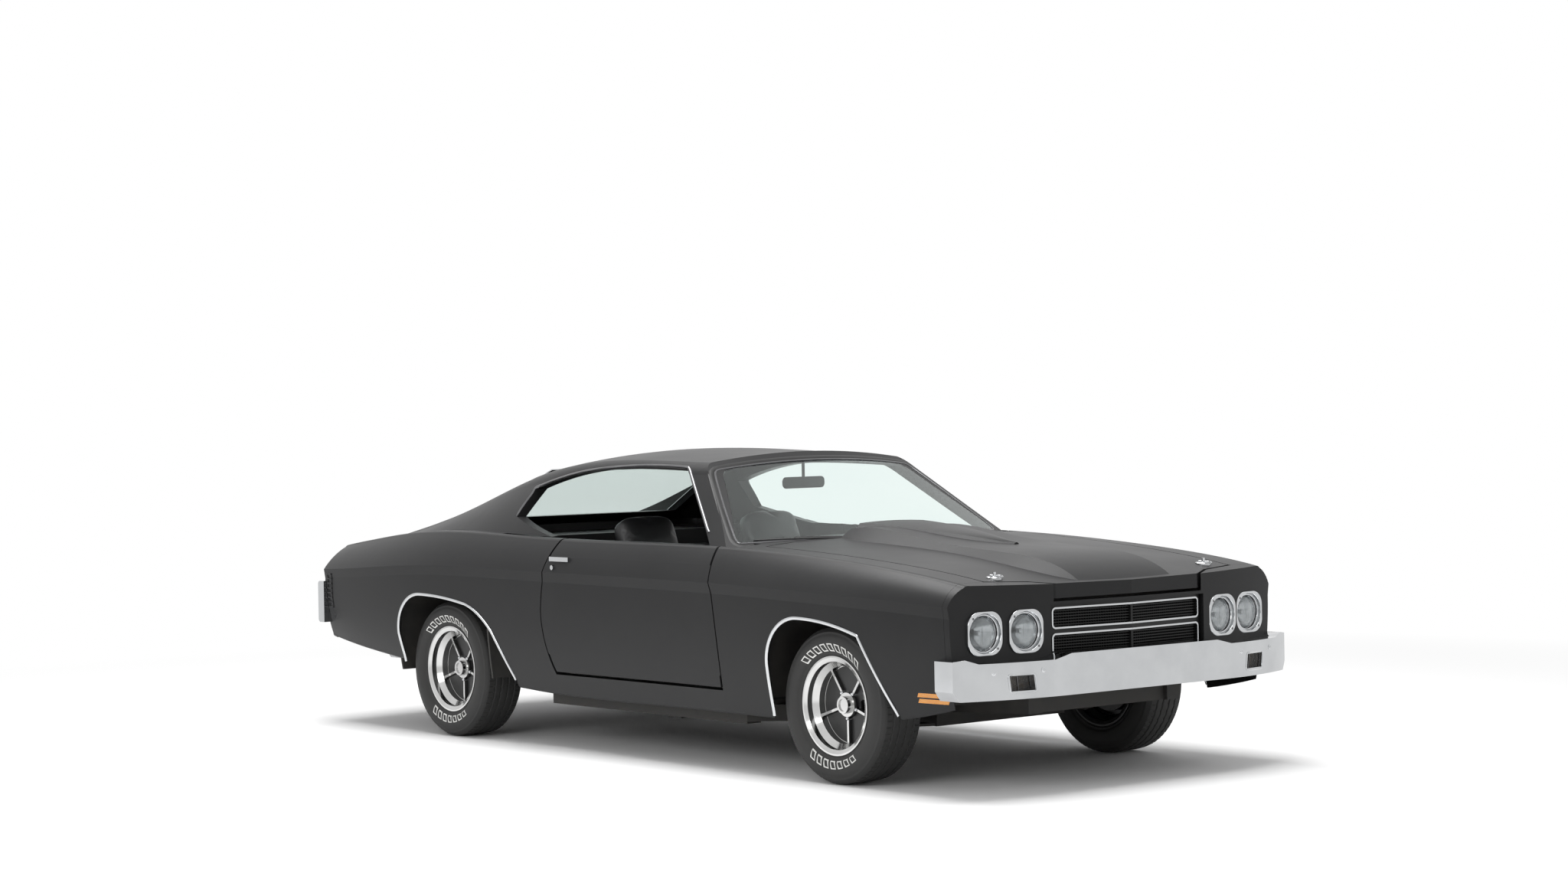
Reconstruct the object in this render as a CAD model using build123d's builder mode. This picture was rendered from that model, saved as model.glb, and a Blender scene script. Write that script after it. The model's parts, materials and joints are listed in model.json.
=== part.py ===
"""Two-door hardtop muscle coupe, about 5.0 m long, as an assembly of its real panels and running gear.

Row frame: +X forward, +Y to the car's left, +Z up, millimetres. The origin is on the ground, midway along
and across the car. Body sections, wheel arches and shut lines come from the tables below.
"""

import os
from math import cos, radians, sin, sqrt

from build123d import *

os.makedirs("parts", exist_ok=True)

# ---------------------------------------------------------------- driving dimensions, mm
LENGTH = 5009.0
FRONT_OVERHANG = 935.0
WHEELBASE = 2845.0
TRACK = 1522.0

TYRE_R = 322.0
TYRE_W = 230.0
WHEEL_GAP = 0.3

SKIN = 26.0
DOOR_T = 88.0
ROOF_T = 34.0
GAP = 7.0
HOOD_NOSE_GAP = 12.0
LID_GAP = 10.0
GLASS_T = 6.0
SEAT_FIT = 0.3

SILL_ROUND = 16.0
CREASE_DROP = 46.0
CREASE_UNDERCUT = 8.0
SIDE_BULGE = 14.0
SHOULDER_BULGE = 7.0
SHOULDER_IN = 26.0
SHOULDER_UP = 9.0

NOSE_X = 2432.0
NOSE_CORNER_X = 2318.0
TAIL_X = -2420.0
TAIL_CORNER_X = -2340.0

KINGPIN_LEAN = 7.0

FRONT_AXLE_X = LENGTH / 2 - FRONT_OVERHANG
REAR_AXLE_X = FRONT_AXLE_X - WHEELBASE
WHEEL_Z = TYRE_R
WHEEL_Y = TRACK / 2

# Body cross-sections from nose to tail. Columns: station x; floor height; sill half-width; crease half-width
# and height (the side's sharp feature line); belt half-width and height; centreline crown height.
HULL = [
    # x,      floor, sill_y, crease_y, crease_z, belt_y, belt_z, crown_z
    (2520.0, 400.0, 838.0, 898.0, 742.0, 838.0, 792.0, 800.0),
    (2300.0, 345.0, 868.0, 926.0, 757.0, 852.0, 836.0, 848.0),
    (1950.0, 285.0, 888.0, 945.0, 775.0, 856.0, 880.0, 898.0),
    (1570.0, 255.0, 893.0, 953.0, 788.0, 854.0, 912.0, 935.0),
    (1100.0, 250.0, 890.0, 950.0, 802.0, 858.0, 938.0, 968.0),
    (500.0, 250.0, 882.0, 941.0, 810.0, 868.0, 951.0, 985.0),
    (-350.0, 254.0, 884.0, 942.0, 816.0, 866.0, 955.0, 988.0),
    (-900.0, 285.0, 893.0, 952.0, 822.0, 856.0, 968.0, 992.0),
    (-1300.0, 320.0, 898.0, 957.0, 822.0, 845.0, 972.0, 990.0),
    (-1750.0, 360.0, 892.0, 949.0, 803.0, 818.0, 948.0, 968.0),
    (-2150.0, 400.0, 872.0, 926.0, 780.0, 786.0, 905.0, 925.0),
    (-2500.0, 445.0, 838.0, 890.0, 758.0, 745.0, 858.0, 874.0),
]

# Cabin cross-sections. Columns: station x; half-width at the base; eave half-width and height; crown height.
CABIN_BASE_Z = 900.0
CABIN_LEAN_MOST = 0.62
CABIN_FOOT_DROP = 60.0
CABIN_BULGE = 10.0
EAVE_ROUND = 42.0
CABIN = [
    # x,      base_y, eave_y, eave_z, crown_z
    (1100.0, 822.0, 585.0, 1268.0, 1318.0),
    (350.0, 834.0, 592.0, 1288.0, 1342.0),
    (-200.0, 842.0, 598.0, 1298.0, 1358.0),
    (-620.0, 846.0, 594.0, 1275.0, 1340.0),
    (-950.0, 848.0, 584.0, 1222.0, 1287.0),
    (-1250.0, 842.0, 580.0, 1145.0, 1202.0),
    (-1500.0, 826.0, 592.0, 1068.0, 1112.0),
    (-1780.0, 800.0, 622.0, 988.0, 1022.0),
    (-2100.0, 770.0, 660.0, 915.0, 935.0),
]



def half_section(points):
    """Draws a half outline given as (kind, end, through) steps from the centreline floor, then its mirror."""
    here = points[0]
    for kind, end, through in points[1:]:
        if kind == "line":
            Line(here, end)
        elif kind == "arc":
            ThreePointArc(here, through, end)
        else:
            TangentArc(end, here, tangent=(1, 0))
        here = end


def hull_outline(row, side, top, floor):
    """Half outline of one body section, brought in by the wall thicknesses side, top and floor."""
    x, floor_z, sill_y, crease_y, crease_z, belt_y, belt_z, crown_z = row
    z0 = floor_z + floor
    sill = sill_y - side
    crease, belt = crease_y - side, belt_y - side
    shoulder = (belt - SHOULDER_IN, belt_z + SHOULDER_UP - top)
    low = (sill, z0 + SILL_ROUND)
    under = (crease - CREASE_UNDERCUT, crease_z - CREASE_DROP)
    r = SILL_ROUND * (1 - sqrt(0.5))
    return [
        (0, z0),
        ("line", (sill - SILL_ROUND, z0), None),
        ("arc", low, (sill - r, z0 + r)),
        ("arc", under, ((low[0] + under[0]) / 2 + SIDE_BULGE, (low[1] + under[1]) / 2)),
        ("line", (crease, crease_z), None),
        ("arc", (belt, belt_z - top),
         ((crease + belt) / 2 + SHOULDER_BULGE, (crease_z + belt_z - top) / 2 + SHOULDER_BULGE)),
        ("arc", shoulder,
         (belt - SHOULDER_IN * 0.35, belt_z - top + SHOULDER_UP * 0.72)),
        ("crown", (0, crown_z - top), None),
    ]


def cabin_outline(row, side, top, foot_drop):
    """Half outline of one cabin section, brought in by the thicknesses side and top, its foot let down."""
    x, base_y, eave_y, eave_z, crown_z = row
    base, eave = base_y - side, eave_y - side
    foot_z = CABIN_BASE_Z - foot_drop
    lean = min((base - eave) / (eave_z - CABIN_BASE_Z), CABIN_LEAN_MOST)
    base += lean * foot_drop
    side_length = sqrt((base - eave) ** 2 + (eave_z - top - foot_z) ** 2)
    share = EAVE_ROUND / side_length
    shoulder = (eave + (base - eave) * share, eave_z - top - (eave_z - top - foot_z) * share)
    tip = (eave - EAVE_ROUND, eave_z - top + EAVE_ROUND * 0.42)
    return [
        (0, foot_z),
        ("line", (base, foot_z), None),
        ("arc", shoulder, ((base + shoulder[0]) / 2 + CABIN_BULGE, (foot_z + shoulder[1]) / 2)),
        ("arc", tip, (eave - EAVE_ROUND * 0.22, eave_z - top + EAVE_ROUND * 0.02)),
        ("crown", (0, crown_z - top), None),
    ]


def section_loft(rows, outline, *insets):
    with BuildPart() as body:
        for row in rows:
            with BuildSketch(Plane.YZ.offset(row[0])):
                with BuildLine():
                    half_section(outline(row, *insets))
                    mirror(about=Plane.YZ)
                make_face()
        loft()
    return body.part


def prism_y(points, y_low, y_high, grow=0.0):
    """A closed side-view outline (x, z), carried from y_low to y_high. A point may be (x, z, through_x, through_z)."""
    with BuildPart() as prism:
        with BuildSketch(Plane.XZ.offset(-y_high)):
            with BuildLine():
                closed_outline(points)
            make_face()
            if grow:
                offset(amount=grow, kind=Kind.INTERSECTION)
        extrude(amount=y_high - y_low)
    return prism.part


def prism_z(points, z_low, z_high, grow=0.0):
    """A closed plan outline (x, y), carried from z_low to z_high."""
    with BuildPart() as prism:
        with BuildSketch(Plane.XY.offset(z_low)):
            with BuildLine():
                closed_outline(points)
            make_face()
            if grow:
                offset(amount=grow, kind=Kind.INTERSECTION)
        extrude(amount=z_high - z_low)
    return prism.part


def prism_x(points, x_low, x_high, grow=0.0):
    """A closed front-view outline (y, z), carried from x_low to x_high."""
    with BuildPart() as prism:
        with BuildSketch(Plane.YZ.offset(x_low)):
            with BuildLine():
                closed_outline(points)
            make_face()
            if grow:
                offset(amount=grow, kind=Kind.INTERSECTION)
        extrude(amount=x_high - x_low)
    return prism.part


def closed_outline(points):
    """Lines between the points in turn; a point of four numbers is reached by an arc through its last two."""
    here = points[-1][:2]
    for point in points:
        if len(point) == 4:
            ThreePointArc(here, point[2:], point[:2])
        else:
            Line(here, point[:2])
        here = point[:2]


def block(x, y, z):
    """A box from three (low, high) pairs."""
    return prism_z([(x[0], y[0]), (x[1], y[0]), (x[1], y[1]), (x[0], y[1])], z[0], z[1])


def both_sides(points):
    """Plan outline points (x, y) of the left side, then their mirror, as one closed outline."""
    return points + [(x, -y) for x, y in reversed(points) if y]


def across(points):
    """Front outline points (y, z) of the left side, then their mirror, as one closed outline."""
    return points + [(-y, z) for y, z in reversed(points) if y]


def write(name, builder):
    """Labels one finished node and writes its file."""
    builder.part.label = name
    export_step(builder.part, f"parts/{name}.step")


# ---------------------------------------------------------------- outlines
SIDE_OUT = 1100.0
TOP_OUT = 1500.0

# Side window opening in side view, from its front foot round by the roof rail and the rear quarter.
WINDOW_FOOT_Z = 938.0
WINDOW_MIN_Y = 540.0
WINDOW = [
    (720.0, WINDOW_FOOT_Z),
    (284.0, 1276.0),
    (-313.0, 1272.0, -20.0, 1284.0),
    (-846.0, 1180.0, -590.0, 1240.0),
    (-865.0, 1052.0),
    (-300.0, WINDOW_FOOT_Z, -610.0, 992.0),
]

# Door shut line in side view.
DOOR_SILL_Z = 356.0
DOOR = [
    (-335.0, DOOR_SILL_Z),
    (-406.0, 640.0, -388.0, 480.0),
    (-318.0, 1000.0, -374.0, 815.0),
    (802.0, 1000.0),
    (888.0, DOOR_SILL_Z, 872.0, 700.0),
]
DOOR_STEP_Y = 914.0
DOOR_STEP = 6.0
HINGE_X = 884.0
HINGE_Y = 945.0
PILLAR_NOTCH = [(690.0, 893.0), (900.0, 893.0), (900.0, 1000.0), (690.0, 1000.0)]
PILLAR_FOOT_Y = 834.0
PILLAR_FOOT_TOP_Z = 954.0
PILLAR_NOTCH_Y = PILLAR_FOOT_Y + 8.0

# Wheel arch openings in side view, x from the axle: a steep rear leg, a rounded top and a raked front leg.
FRONT_ARCH = [
    (-348.0, 100.0),
    (-352.0, 478.0),
    (-60.0, 672.0, -286.0, 622.0),
    (245.0, 628.0, 100.0, 668.0),
    (425.0, 342.0),
    (520.0, 100.0),
]
REAR_ARCH = [
    (-342.0, 100.0),
    (-366.0, 480.0),
    (-60.0, 672.0, -290.0, 624.0),
    (260.0, 650.0, 100.0, 674.0),
    (459.0, 526.0, 376.0, 598.0),
    (607.0, 306.0),
    (650.0, 100.0),
]

# Hood and trunk lid shut lines in plan, one side from the centreline at the front.
HOOD_REAR_X = 966.0
HOOD_LIP_Z = 767.0
HOOD = [(2428.0, 0.0), (2408.0, 405.0), (2352.0, 505.0), (2306.0, 700.0), (1010.0, 742.0), (HOOD_REAR_X, 560.0),
        (HOOD_REAR_X, 0.0)]
HEADER_FROM_X = 2309.0
HEADER_BOTTOM_Z = 470.0
LID_FRONT_X = -1600.0
LID_LIP_Z = 768.0
LID = [(LID_FRONT_X, 0.0), (LID_FRONT_X, 556.0), (-2348.0, 650.0), (-2372.0, 0.0)]

# Hood bulge and the wedge on its rear half. Columns: station x; foot and top half-widths; foot and top heights.
DOME_CROWN = 6.0
HOOD_DOME = [
    # x,          foot_y, top_y, foot_z, top_z
    (2402.0, 282.0, 262.0, 812.0, 822.0),
    (2325.0, 322.0, 262.0, 828.0, 864.0),
    (1900.0, 330.0, 256.0, 888.0, 936.0),
    (1400.0, 328.0, 248.0, 933.0, 984.0),
    (HOOD_REAR_X, 322.0, 240.0, 955.0, 1008.0),
]
HOOD_SCOOP = [
    (1760.0, 40.0, 12.0, 938.0, 952.0),
    (1360.0, 146.0, 112.0, 974.0, 1004.0),
    (HOOD_REAR_X, 222.0, 184.0, 998.0, 1032.0),
]

# Windscreen face: plan arcs at two heights. Columns: height; x on the centreline; half-width and x at the corner.
SCREEN = [(880.0, 1085.0, 840.0, 910.0), (1480.0, 202.0, 516.0, 134.0)]
SCREEN_FOOT_Z = 932.0
BACKLIGHT_TOP = (-838.0, 1300.0)
BACKLIGHT_BASE = (-1460.0, 1000.0)
BACKLIGHT_RECESS = [(-700.0, 545.0), (-1460.0, 575.0), (-2300.0, 600.0)]
BACKLIGHT_GLASS = [(500.0, 1262.0), (545.0, 1030.0)]
BACKLIGHT_SLOPE = (BACKLIGHT_TOP[1] - BACKLIGHT_BASE[1]) / (BACKLIGHT_TOP[0] - BACKLIGHT_BASE[0])

MARKER_ROWS = [(372.0, 389.0), (395.0, 412.0)]
MARKER_X = (2124.0, 2292.0)
MARKER_SLANT = 10.0
ROCKER_X = (-345.0, 888.0)
CABIN_WALL_FROM_X = -870.0


def windscreen_face(shift):
    """The space ahead of the windscreen surface, moved along the car by shift."""
    reach = 950.0
    with BuildPart() as space:
        for z, x_mid, y_corner, x_corner in SCREEN:
            x_side = x_mid - (x_mid - x_corner) * (reach / y_corner) ** 2 + shift
            with BuildSketch(Plane.XY.offset(z)):
                with BuildLine():
                    ThreePointArc((x_side, -reach), (x_mid + shift, 0), (x_side, reach))
                    Polyline((x_side, reach), (1500, reach), (1500, -reach), (x_side, -reach))
                make_face()
        loft(ruled=True)
    return space.part


def backlight_space(drop, grow):
    """The space above the backlight between the sail panels, let down by drop and widened by grow."""
    (top_x, top_z), (base_x, base_z) = BACKLIGHT_TOP, BACKLIGHT_BASE
    slope = (top_z - base_z) / (top_x - base_x)
    lead = 90.0
    side = [
        (top_x + lead, top_z + lead * slope - drop),
        (base_x, base_z - drop),
        (base_x, 700.0),
        (-2300.0, 700.0),
        (-2300.0, TOP_OUT),
        (top_x + lead, TOP_OUT),
    ]
    with BuildPart() as space:
        add(prism_y(side, -SIDE_OUT, SIDE_OUT))
        add(prism_z(both_sides([(x, y + grow) for x, y in BACKLIGHT_RECESS]), 600, TOP_OUT), mode=Mode.INTERSECT)
    return space.part


def end_to_end(inset):
    """Everything between the body's curved nose and tail, brought in by inset."""
    reach = 1000.0
    nose, nose_corner = NOSE_X - inset, NOSE_CORNER_X - inset
    tail, tail_corner = TAIL_X + inset, TAIL_CORNER_X + inset
    with BuildPart() as prism:
        with BuildSketch(Plane.XY):
            with BuildLine():
                ThreePointArc((nose_corner, -reach), (nose, 0), (nose_corner, reach))
                Line((nose_corner, reach), (tail_corner, reach))
                ThreePointArc((tail_corner, reach), (tail, 0), (tail_corner, -reach))
                Line((tail_corner, -reach), (nose_corner, -reach))
            make_face()
        extrude(amount=TOP_OUT)
    return prism.part


def arch_prism(arch, axle_x, grow=0.0):
    outline = []
    for point in arch:
        place = list(point)
        place[0] += axle_x
        if len(place) == 4:
            place[2] += axle_x
        outline.append(tuple(place))
    return prism_y(outline, -SIDE_OUT, SIDE_OUT, grow)


def rear_glass():
    """The backlight pane, let into its opening and flush with the recess floor."""
    (top_x, top_z), (base_x, base_z) = BACKLIGHT_TOP, BACKLIGHT_BASE
    slab = [(top_x + 90, top_z + 90 * BACKLIGHT_SLOPE), (base_x - 90, base_z - 90 * BACKLIGHT_SLOPE),
            (base_x - 90, base_z - 90 * BACKLIGHT_SLOPE - GLASS_T), (top_x + 90, top_z + 90 * BACKLIGHT_SLOPE - GLASS_T)]
    with BuildPart() as pane:
        add(prism_y(slab, -SIDE_OUT, SIDE_OUT))
        add(prism_x(across(BACKLIGHT_GLASS), -1700.0, -780.0, -SEAT_FIT), mode=Mode.INTERSECT)
    return pane.part


def marker(row, grow=0.0):
    low, high = row
    lean = MARKER_SLANT
    outline = [(MARKER_X[0], low), (MARKER_X[1] - lean, low), (MARKER_X[1], high), (MARKER_X[0] + lean, high)]
    return prism_y(outline, 700, SIDE_OUT, grow)


# ---------------------------------------------------------------- body surfaces
with BuildPart() as outer_body:
    add(section_loft(HULL, hull_outline, 0.0, 0.0, 0.0))
    add(end_to_end(0.0), mode=Mode.INTERSECT)

with BuildPart() as inner_body:
    add(section_loft(HULL, hull_outline, SKIN, SKIN, -120.0))
    add(end_to_end(SKIN), mode=Mode.INTERSECT)

with BuildPart() as inner_cabin_walls:
    add(section_loft(HULL, hull_outline, DOOR_T, -150.0, -120.0))

with BuildPart() as skin_shell:
    add(outer_body.part)
    add(inner_body.part, mode=Mode.SUBTRACT)

with BuildPart() as wall_shell:
    add(outer_body.part)
    add(inner_cabin_walls.part, mode=Mode.SUBTRACT)

screen_space = windscreen_face(0.0)
glass_back_space = windscreen_face(-GLASS_T)

with BuildPart() as cabin_outer:
    add(section_loft(CABIN, cabin_outline, 0.0, 0.0, 0.0))
    add(screen_space, mode=Mode.SUBTRACT)
    add(backlight_space(0.0, 0.0), mode=Mode.SUBTRACT)

with BuildPart() as cabin_inner:
    add(section_loft(CABIN, cabin_outline, ROOF_T, ROOF_T, CABIN_FOOT_DROP))
    add(backlight_space(ROOF_T, ROOF_T), mode=Mode.SUBTRACT)

# ---------------------------------------------------------------- roof, pillars and glass
with BuildPart() as window_openings:
    add(prism_y(WINDOW, WINDOW_MIN_Y, SIDE_OUT))
    mirror(about=Plane.XZ)

with BuildPart() as rear_glass_opening:
    add(prism_x(across(BACKLIGHT_GLASS), -1700.0, -780.0))

with BuildPart() as lower_body:
    add(outer_body.part)
    add(block((-2600, 690), (-SIDE_OUT, SIDE_OUT), (0, TOP_OUT)), mode=Mode.INTERSECT)

with BuildPart() as roof:
    add(cabin_outer.part)
    add(cabin_inner.part, mode=Mode.SUBTRACT)
    add(lower_body.part, mode=Mode.SUBTRACT)
    add(window_openings.part, mode=Mode.SUBTRACT)
    add(rear_glass_opening.part, mode=Mode.SUBTRACT)
    add(prism_z(both_sides(LID), 600, TOP_OUT, LID_GAP), mode=Mode.SUBTRACT)
    for side in (1, -1):
        low, high = sorted((side * PILLAR_FOOT_Y, side * SIDE_OUT))
        add(block((690, 1000), (low, high), (0, PILLAR_FOOT_TOP_Z)), mode=Mode.SUBTRACT)

write("roof", roof)

with BuildPart() as windows:
    add(section_loft(CABIN, cabin_outline, ROOF_T + SEAT_FIT, ROOF_T + SEAT_FIT, CABIN_FOOT_DROP))
    add(glass_back_space, mode=Mode.INTERSECT)
    add(screen_space, mode=Mode.SUBTRACT)
    add(outer_body.part, mode=Mode.SUBTRACT)
    add(block((0, 1200), (-SIDE_OUT, SIDE_OUT), (SCREEN_FOOT_Z, TOP_OUT)), mode=Mode.INTERSECT)
    add(rear_glass())

write("windows", windows)

# ---------------------------------------------------------------- lower body panels
hood_cut_side = prism_z(both_sides(HOOD), 600, TOP_OUT, GAP)
lid_cut = prism_z(both_sides(LID), LID_LIP_Z - LID_GAP, TOP_OUT, LID_GAP)
door_cut = prism_y(DOOR, -SIDE_OUT, SIDE_OUT, GAP)
rocker_block = block(ROCKER_X, (0, SIDE_OUT), (0, DOOR_SILL_Z - GAP))
front_arch_space = arch_prism(FRONT_ARCH, FRONT_AXLE_X)
rear_arch_space = arch_prism(REAR_ARCH, REAR_AXLE_X)

with BuildPart() as fender_left:
    add(skin_shell.part)
    add(block((780, HEADER_FROM_X - 1), (600, SIDE_OUT), (0, TOP_OUT)), mode=Mode.INTERSECT)
    add(hood_cut_side, mode=Mode.SUBTRACT)
    add(door_cut, mode=Mode.SUBTRACT)
    add(rocker_block, mode=Mode.SUBTRACT)
    add(front_arch_space, mode=Mode.SUBTRACT)
    add(block((780, 905), (600, PILLAR_NOTCH_Y), (600, TOP_OUT)), mode=Mode.SUBTRACT)
    add(block((780, HOOD_REAR_X), (600, 690), (600, TOP_OUT)), mode=Mode.SUBTRACT)
    for row in MARKER_ROWS:
        add(marker(row, SEAT_FIT), mode=Mode.SUBTRACT)

with BuildPart() as cabin_side:
    add(wall_shell.part)
    add(block((CABIN_WALL_FROM_X, -300), (0, SIDE_OUT), (0, TOP_OUT)), mode=Mode.INTERSECT)

with BuildPart() as quarter_left:
    add(skin_shell.part)
    add(block((-2600, CABIN_WALL_FROM_X), (0, SIDE_OUT), (0, TOP_OUT)), mode=Mode.INTERSECT)
    add(cabin_side.part)
    add(door_cut, mode=Mode.SUBTRACT)
    add(rocker_block, mode=Mode.SUBTRACT)
    add(lid_cut, mode=Mode.SUBTRACT)
    add(block((BACKLIGHT_BASE[0] + 30, -300), (0, 770), (600, TOP_OUT)), mode=Mode.SUBTRACT)
    add(block((-2600, BACKLIGHT_BASE[0] + 30), (0, 575), (0, TOP_OUT)), mode=Mode.SUBTRACT)
    add(rear_arch_space, mode=Mode.SUBTRACT)

with BuildPart() as fender_right:
    add(mirror(fender_left.part, about=Plane.XZ))

with BuildPart() as quarter_right:
    add(mirror(quarter_left.part, about=Plane.XZ))

with BuildPart() as rockers:
    add(wall_shell.part)
    add(rocker_block, mode=Mode.INTERSECT)
    mirror(about=Plane.XZ)

with BuildPart() as tail_panel:
    add(skin_shell.part)
    add(block((-2600, -2280), (-574.7, 574.7), (0, TOP_OUT)), mode=Mode.INTERSECT)
    add(lid_cut, mode=Mode.SUBTRACT)

with BuildPart() as rear_deck:
    add(skin_shell.part)
    add(block((LID_FRONT_X + LID_GAP, BACKLIGHT_BASE[0] + 29.7), (-574.7, 574.7), (900, TOP_OUT)), mode=Mode.INTERSECT)
    add(block((-1600, -1000), (-550, 550), (932, 948)))
    add(block((-1470, -1440), (-550, 550), (932, 965)))
    add(block((-1016, -1000), (-550, 550), (560, 948)))

for name, panel in (("fender_left", fender_left), ("fender_right", fender_right), ("quarter_left", quarter_left),
                    ("quarter_right", quarter_right), ("rockers", rockers), ("tail_panel", tail_panel),
                    ("rear_deck", rear_deck)):
    write(name, panel)

# ---------------------------------------------------------------- doors, hood and trunk lid
with BuildPart() as door_inside:
    add(wall_shell.part)
    add(prism_y(DOOR, 600, DOOR_STEP_Y, -DOOR_STEP), mode=Mode.INTERSECT)

with BuildPart() as door_left:
    add(wall_shell.part)
    add(prism_y(DOOR, DOOR_STEP_Y, SIDE_OUT), mode=Mode.INTERSECT)
    add(door_inside.part)
    add(prism_y(PILLAR_NOTCH, 600, PILLAR_NOTCH_Y), mode=Mode.SUBTRACT)

with BuildPart() as door_right:
    add(mirror(door_left.part, about=Plane.XZ))


def raised_panel(rows):
    """A long raised panel from rows of station x, foot half-width, top half-width, foot height and top height."""
    with BuildPart() as panel:
        for x, foot_y, top_y, foot_z, top_z in rows:
            with BuildSketch(Plane.YZ.offset(x)):
                with BuildLine():
                    Line((-foot_y, foot_z), (foot_y, foot_z))
                    Line((foot_y, foot_z), (top_y, top_z))
                    ThreePointArc((top_y, top_z), (0, top_z + DOME_CROWN), (-top_y, top_z))
                    Line((-top_y, top_z), (-foot_y, foot_z))
                make_face()
        loft()
    return panel.part


with BuildPart() as hood:
    add(skin_shell.part)
    add(prism_z(both_sides(HOOD), HOOD_LIP_Z, TOP_OUT), mode=Mode.INTERSECT)
    add(raised_panel(HOOD_DOME))
    add(raised_panel(HOOD_SCOOP))

with BuildPart() as decklid:
    add(skin_shell.part)
    add(prism_z(both_sides(LID), LID_LIP_Z, TOP_OUT), mode=Mode.INTERSECT)

for name, panel in (("door_left", door_left), ("door_right", door_right), ("hood", hood), ("decklid", decklid)):
    write(name, panel)

HANDLE_X = (-335.0, -190.0)
HANDLE_Z = (866.0, 886.0)
HANDLE_Y = 934.0
HANDLE_T = 11.0
HANDLE_FOOT = 26.0
LOCK_X = -300.0
LOCK_Z = 838.0
LOCK_R = 11.0

with BuildPart() as door_handles_left:
    add(block(HANDLE_X, (HANDLE_Y - HANDLE_T, HANDLE_Y), HANDLE_Z))
    fillet(door_handles_left.edges().filter_by(Axis.Z), HANDLE_T * 0.45)
    for x in (HANDLE_X[0], HANDLE_X[1] - HANDLE_FOOT):
        add(block((x + 3, x + HANDLE_FOOT - 3), (880, HANDLE_Y - HANDLE_T / 2), (HANDLE_Z[0] + 2, HANDLE_Z[1] - 2)))
    with BuildSketch(Plane(origin=(LOCK_X, 900, LOCK_Z), x_dir=(1, 0, 0), z_dir=(0, 1, 0))):
        Circle(LOCK_R)
    extrude(amount=44)
    add(outer_body.part, mode=Mode.SUBTRACT)

with BuildPart() as door_handles_right:
    add(mirror(door_handles_left.part, about=Plane.XZ))

PIN_X = 2262.0
PIN_Y = 600.0
PIN_Z = 851.0
PIN_PLATE_R = 32.0
PIN_R = 7.0

with BuildPart() as hood_pins:
    with BuildSketch(Plane(origin=(PIN_X, PIN_Y, PIN_Z - 20))):
        Circle(PIN_PLATE_R)
    extrude(amount=22.5)
    with BuildSketch(Plane(origin=(PIN_X, PIN_Y, PIN_Z - 20))):
        Circle(PIN_R)
    extrude(amount=46)
    with BuildSketch(Plane(origin=(PIN_X - 24, PIN_Y, PIN_Z + 12), x_dir=(0, 1, 0), z_dir=(1, 0, 0))):
        Circle(3.5)
    extrude(amount=56)
    add(outer_body.part, mode=Mode.SUBTRACT)
    mirror(about=Plane.XZ)

for name, piece in (("door_handles_left", door_handles_left), ("door_handles_right", door_handles_right),
                    ("hood_pins", hood_pins)):
    write(name, piece)

# ---------------------------------------------------------------- nose: header, grille, lamps and bumpers
GRILLE_HALF = 438.0
GRILLE_Z = (530.0, 742.0)
GRILLE_SWEEP = 4.5
GRILLE_FRAME = 15.0
GRILLE_BAND = 24.0
GRILLE_POST = 10.0
GRILLE_DEPTH = 36.0
GRILLE_FRONT_X = 2412.0
GRILLE_BAR = 4.0
GRILLE_BAR_BACK = 8.0
GRILLE_BARS = 6
GRILLE_CORNER = 16.0
TRIM_W = 7.0
TRIM_T = 5.0
LAMP_Y = (563.0, 757.0)
LAMP_Z = 646.0
LAMP_TOE = 4.0
BEZEL_HALF = 87.0
BEZEL_ROUND = 58.0
BEZEL_MOUTH = 79.0
BEZEL_PROUD = 7.0
BEZEL_DEEP = 36.0
LENS_R = 71.0
LENS_DOME = 12.0
LENS_T = 24.0
FRONT_BUMPER_Z = (392.0, 556.0)
FRONT_BUMPER_END_X = 2288.0
BUMPER_Y = 952.0
BUMPER_FLAT = 430.0
BUMPER_EDGE = 16.0
# Front bumper seen from the front, y and z from the centreline: raised under the grille and at its ends.
FRONT_BUMPER = [(0.0, 556.0), (418.0, 556.0), (505.0, 536.0), (850.0, 536.0), (905.0, 554.0), (952.0, 548.0),
                (952.0, 430.0), (925.0, 392.0), (0.0, 392.0)]
FRONT_BUMPER_PLAN = [(2392.0, BUMPER_Y), (2466.0, 740.0)]
REAR_BUMPER_Z = (505.0, 712.0)
REAR_BUMPER_Y = 925.0
REAR_BUMPER_BACK_X = -2330.0
REAR_BUMPER_END_X = -2385.0
TURN_LAMP = [(606.0, 424.0), (716.0, 424.0), (724.0, 484.0), (614.0, 484.0)]
TURN_LAMP_BACK_X = 2426.0
TAIL_LAMP = [(560.0, 556.0), (830.0, 556.0), (830.0, 664.0), (560.0, 664.0)]


def nose_x(y):
    return NOSE_X - (NOSE_X - NOSE_CORNER_X) * (y / 1000.0) ** 2


def lamp_axis(y):
    """The plane of one headlamp's face, turned a little outwards."""
    side = 1 if y > 0 else -1
    toe = radians(LAMP_TOE)
    return Plane(origin=(nose_x(y), y, LAMP_Z), x_dir=(-side * sin(toe), cos(toe), 0),
                 z_dir=(cos(toe), side * sin(toe), 0))


lamp_places = [side * y for y in LAMP_Y for side in (1, -1)]

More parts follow.
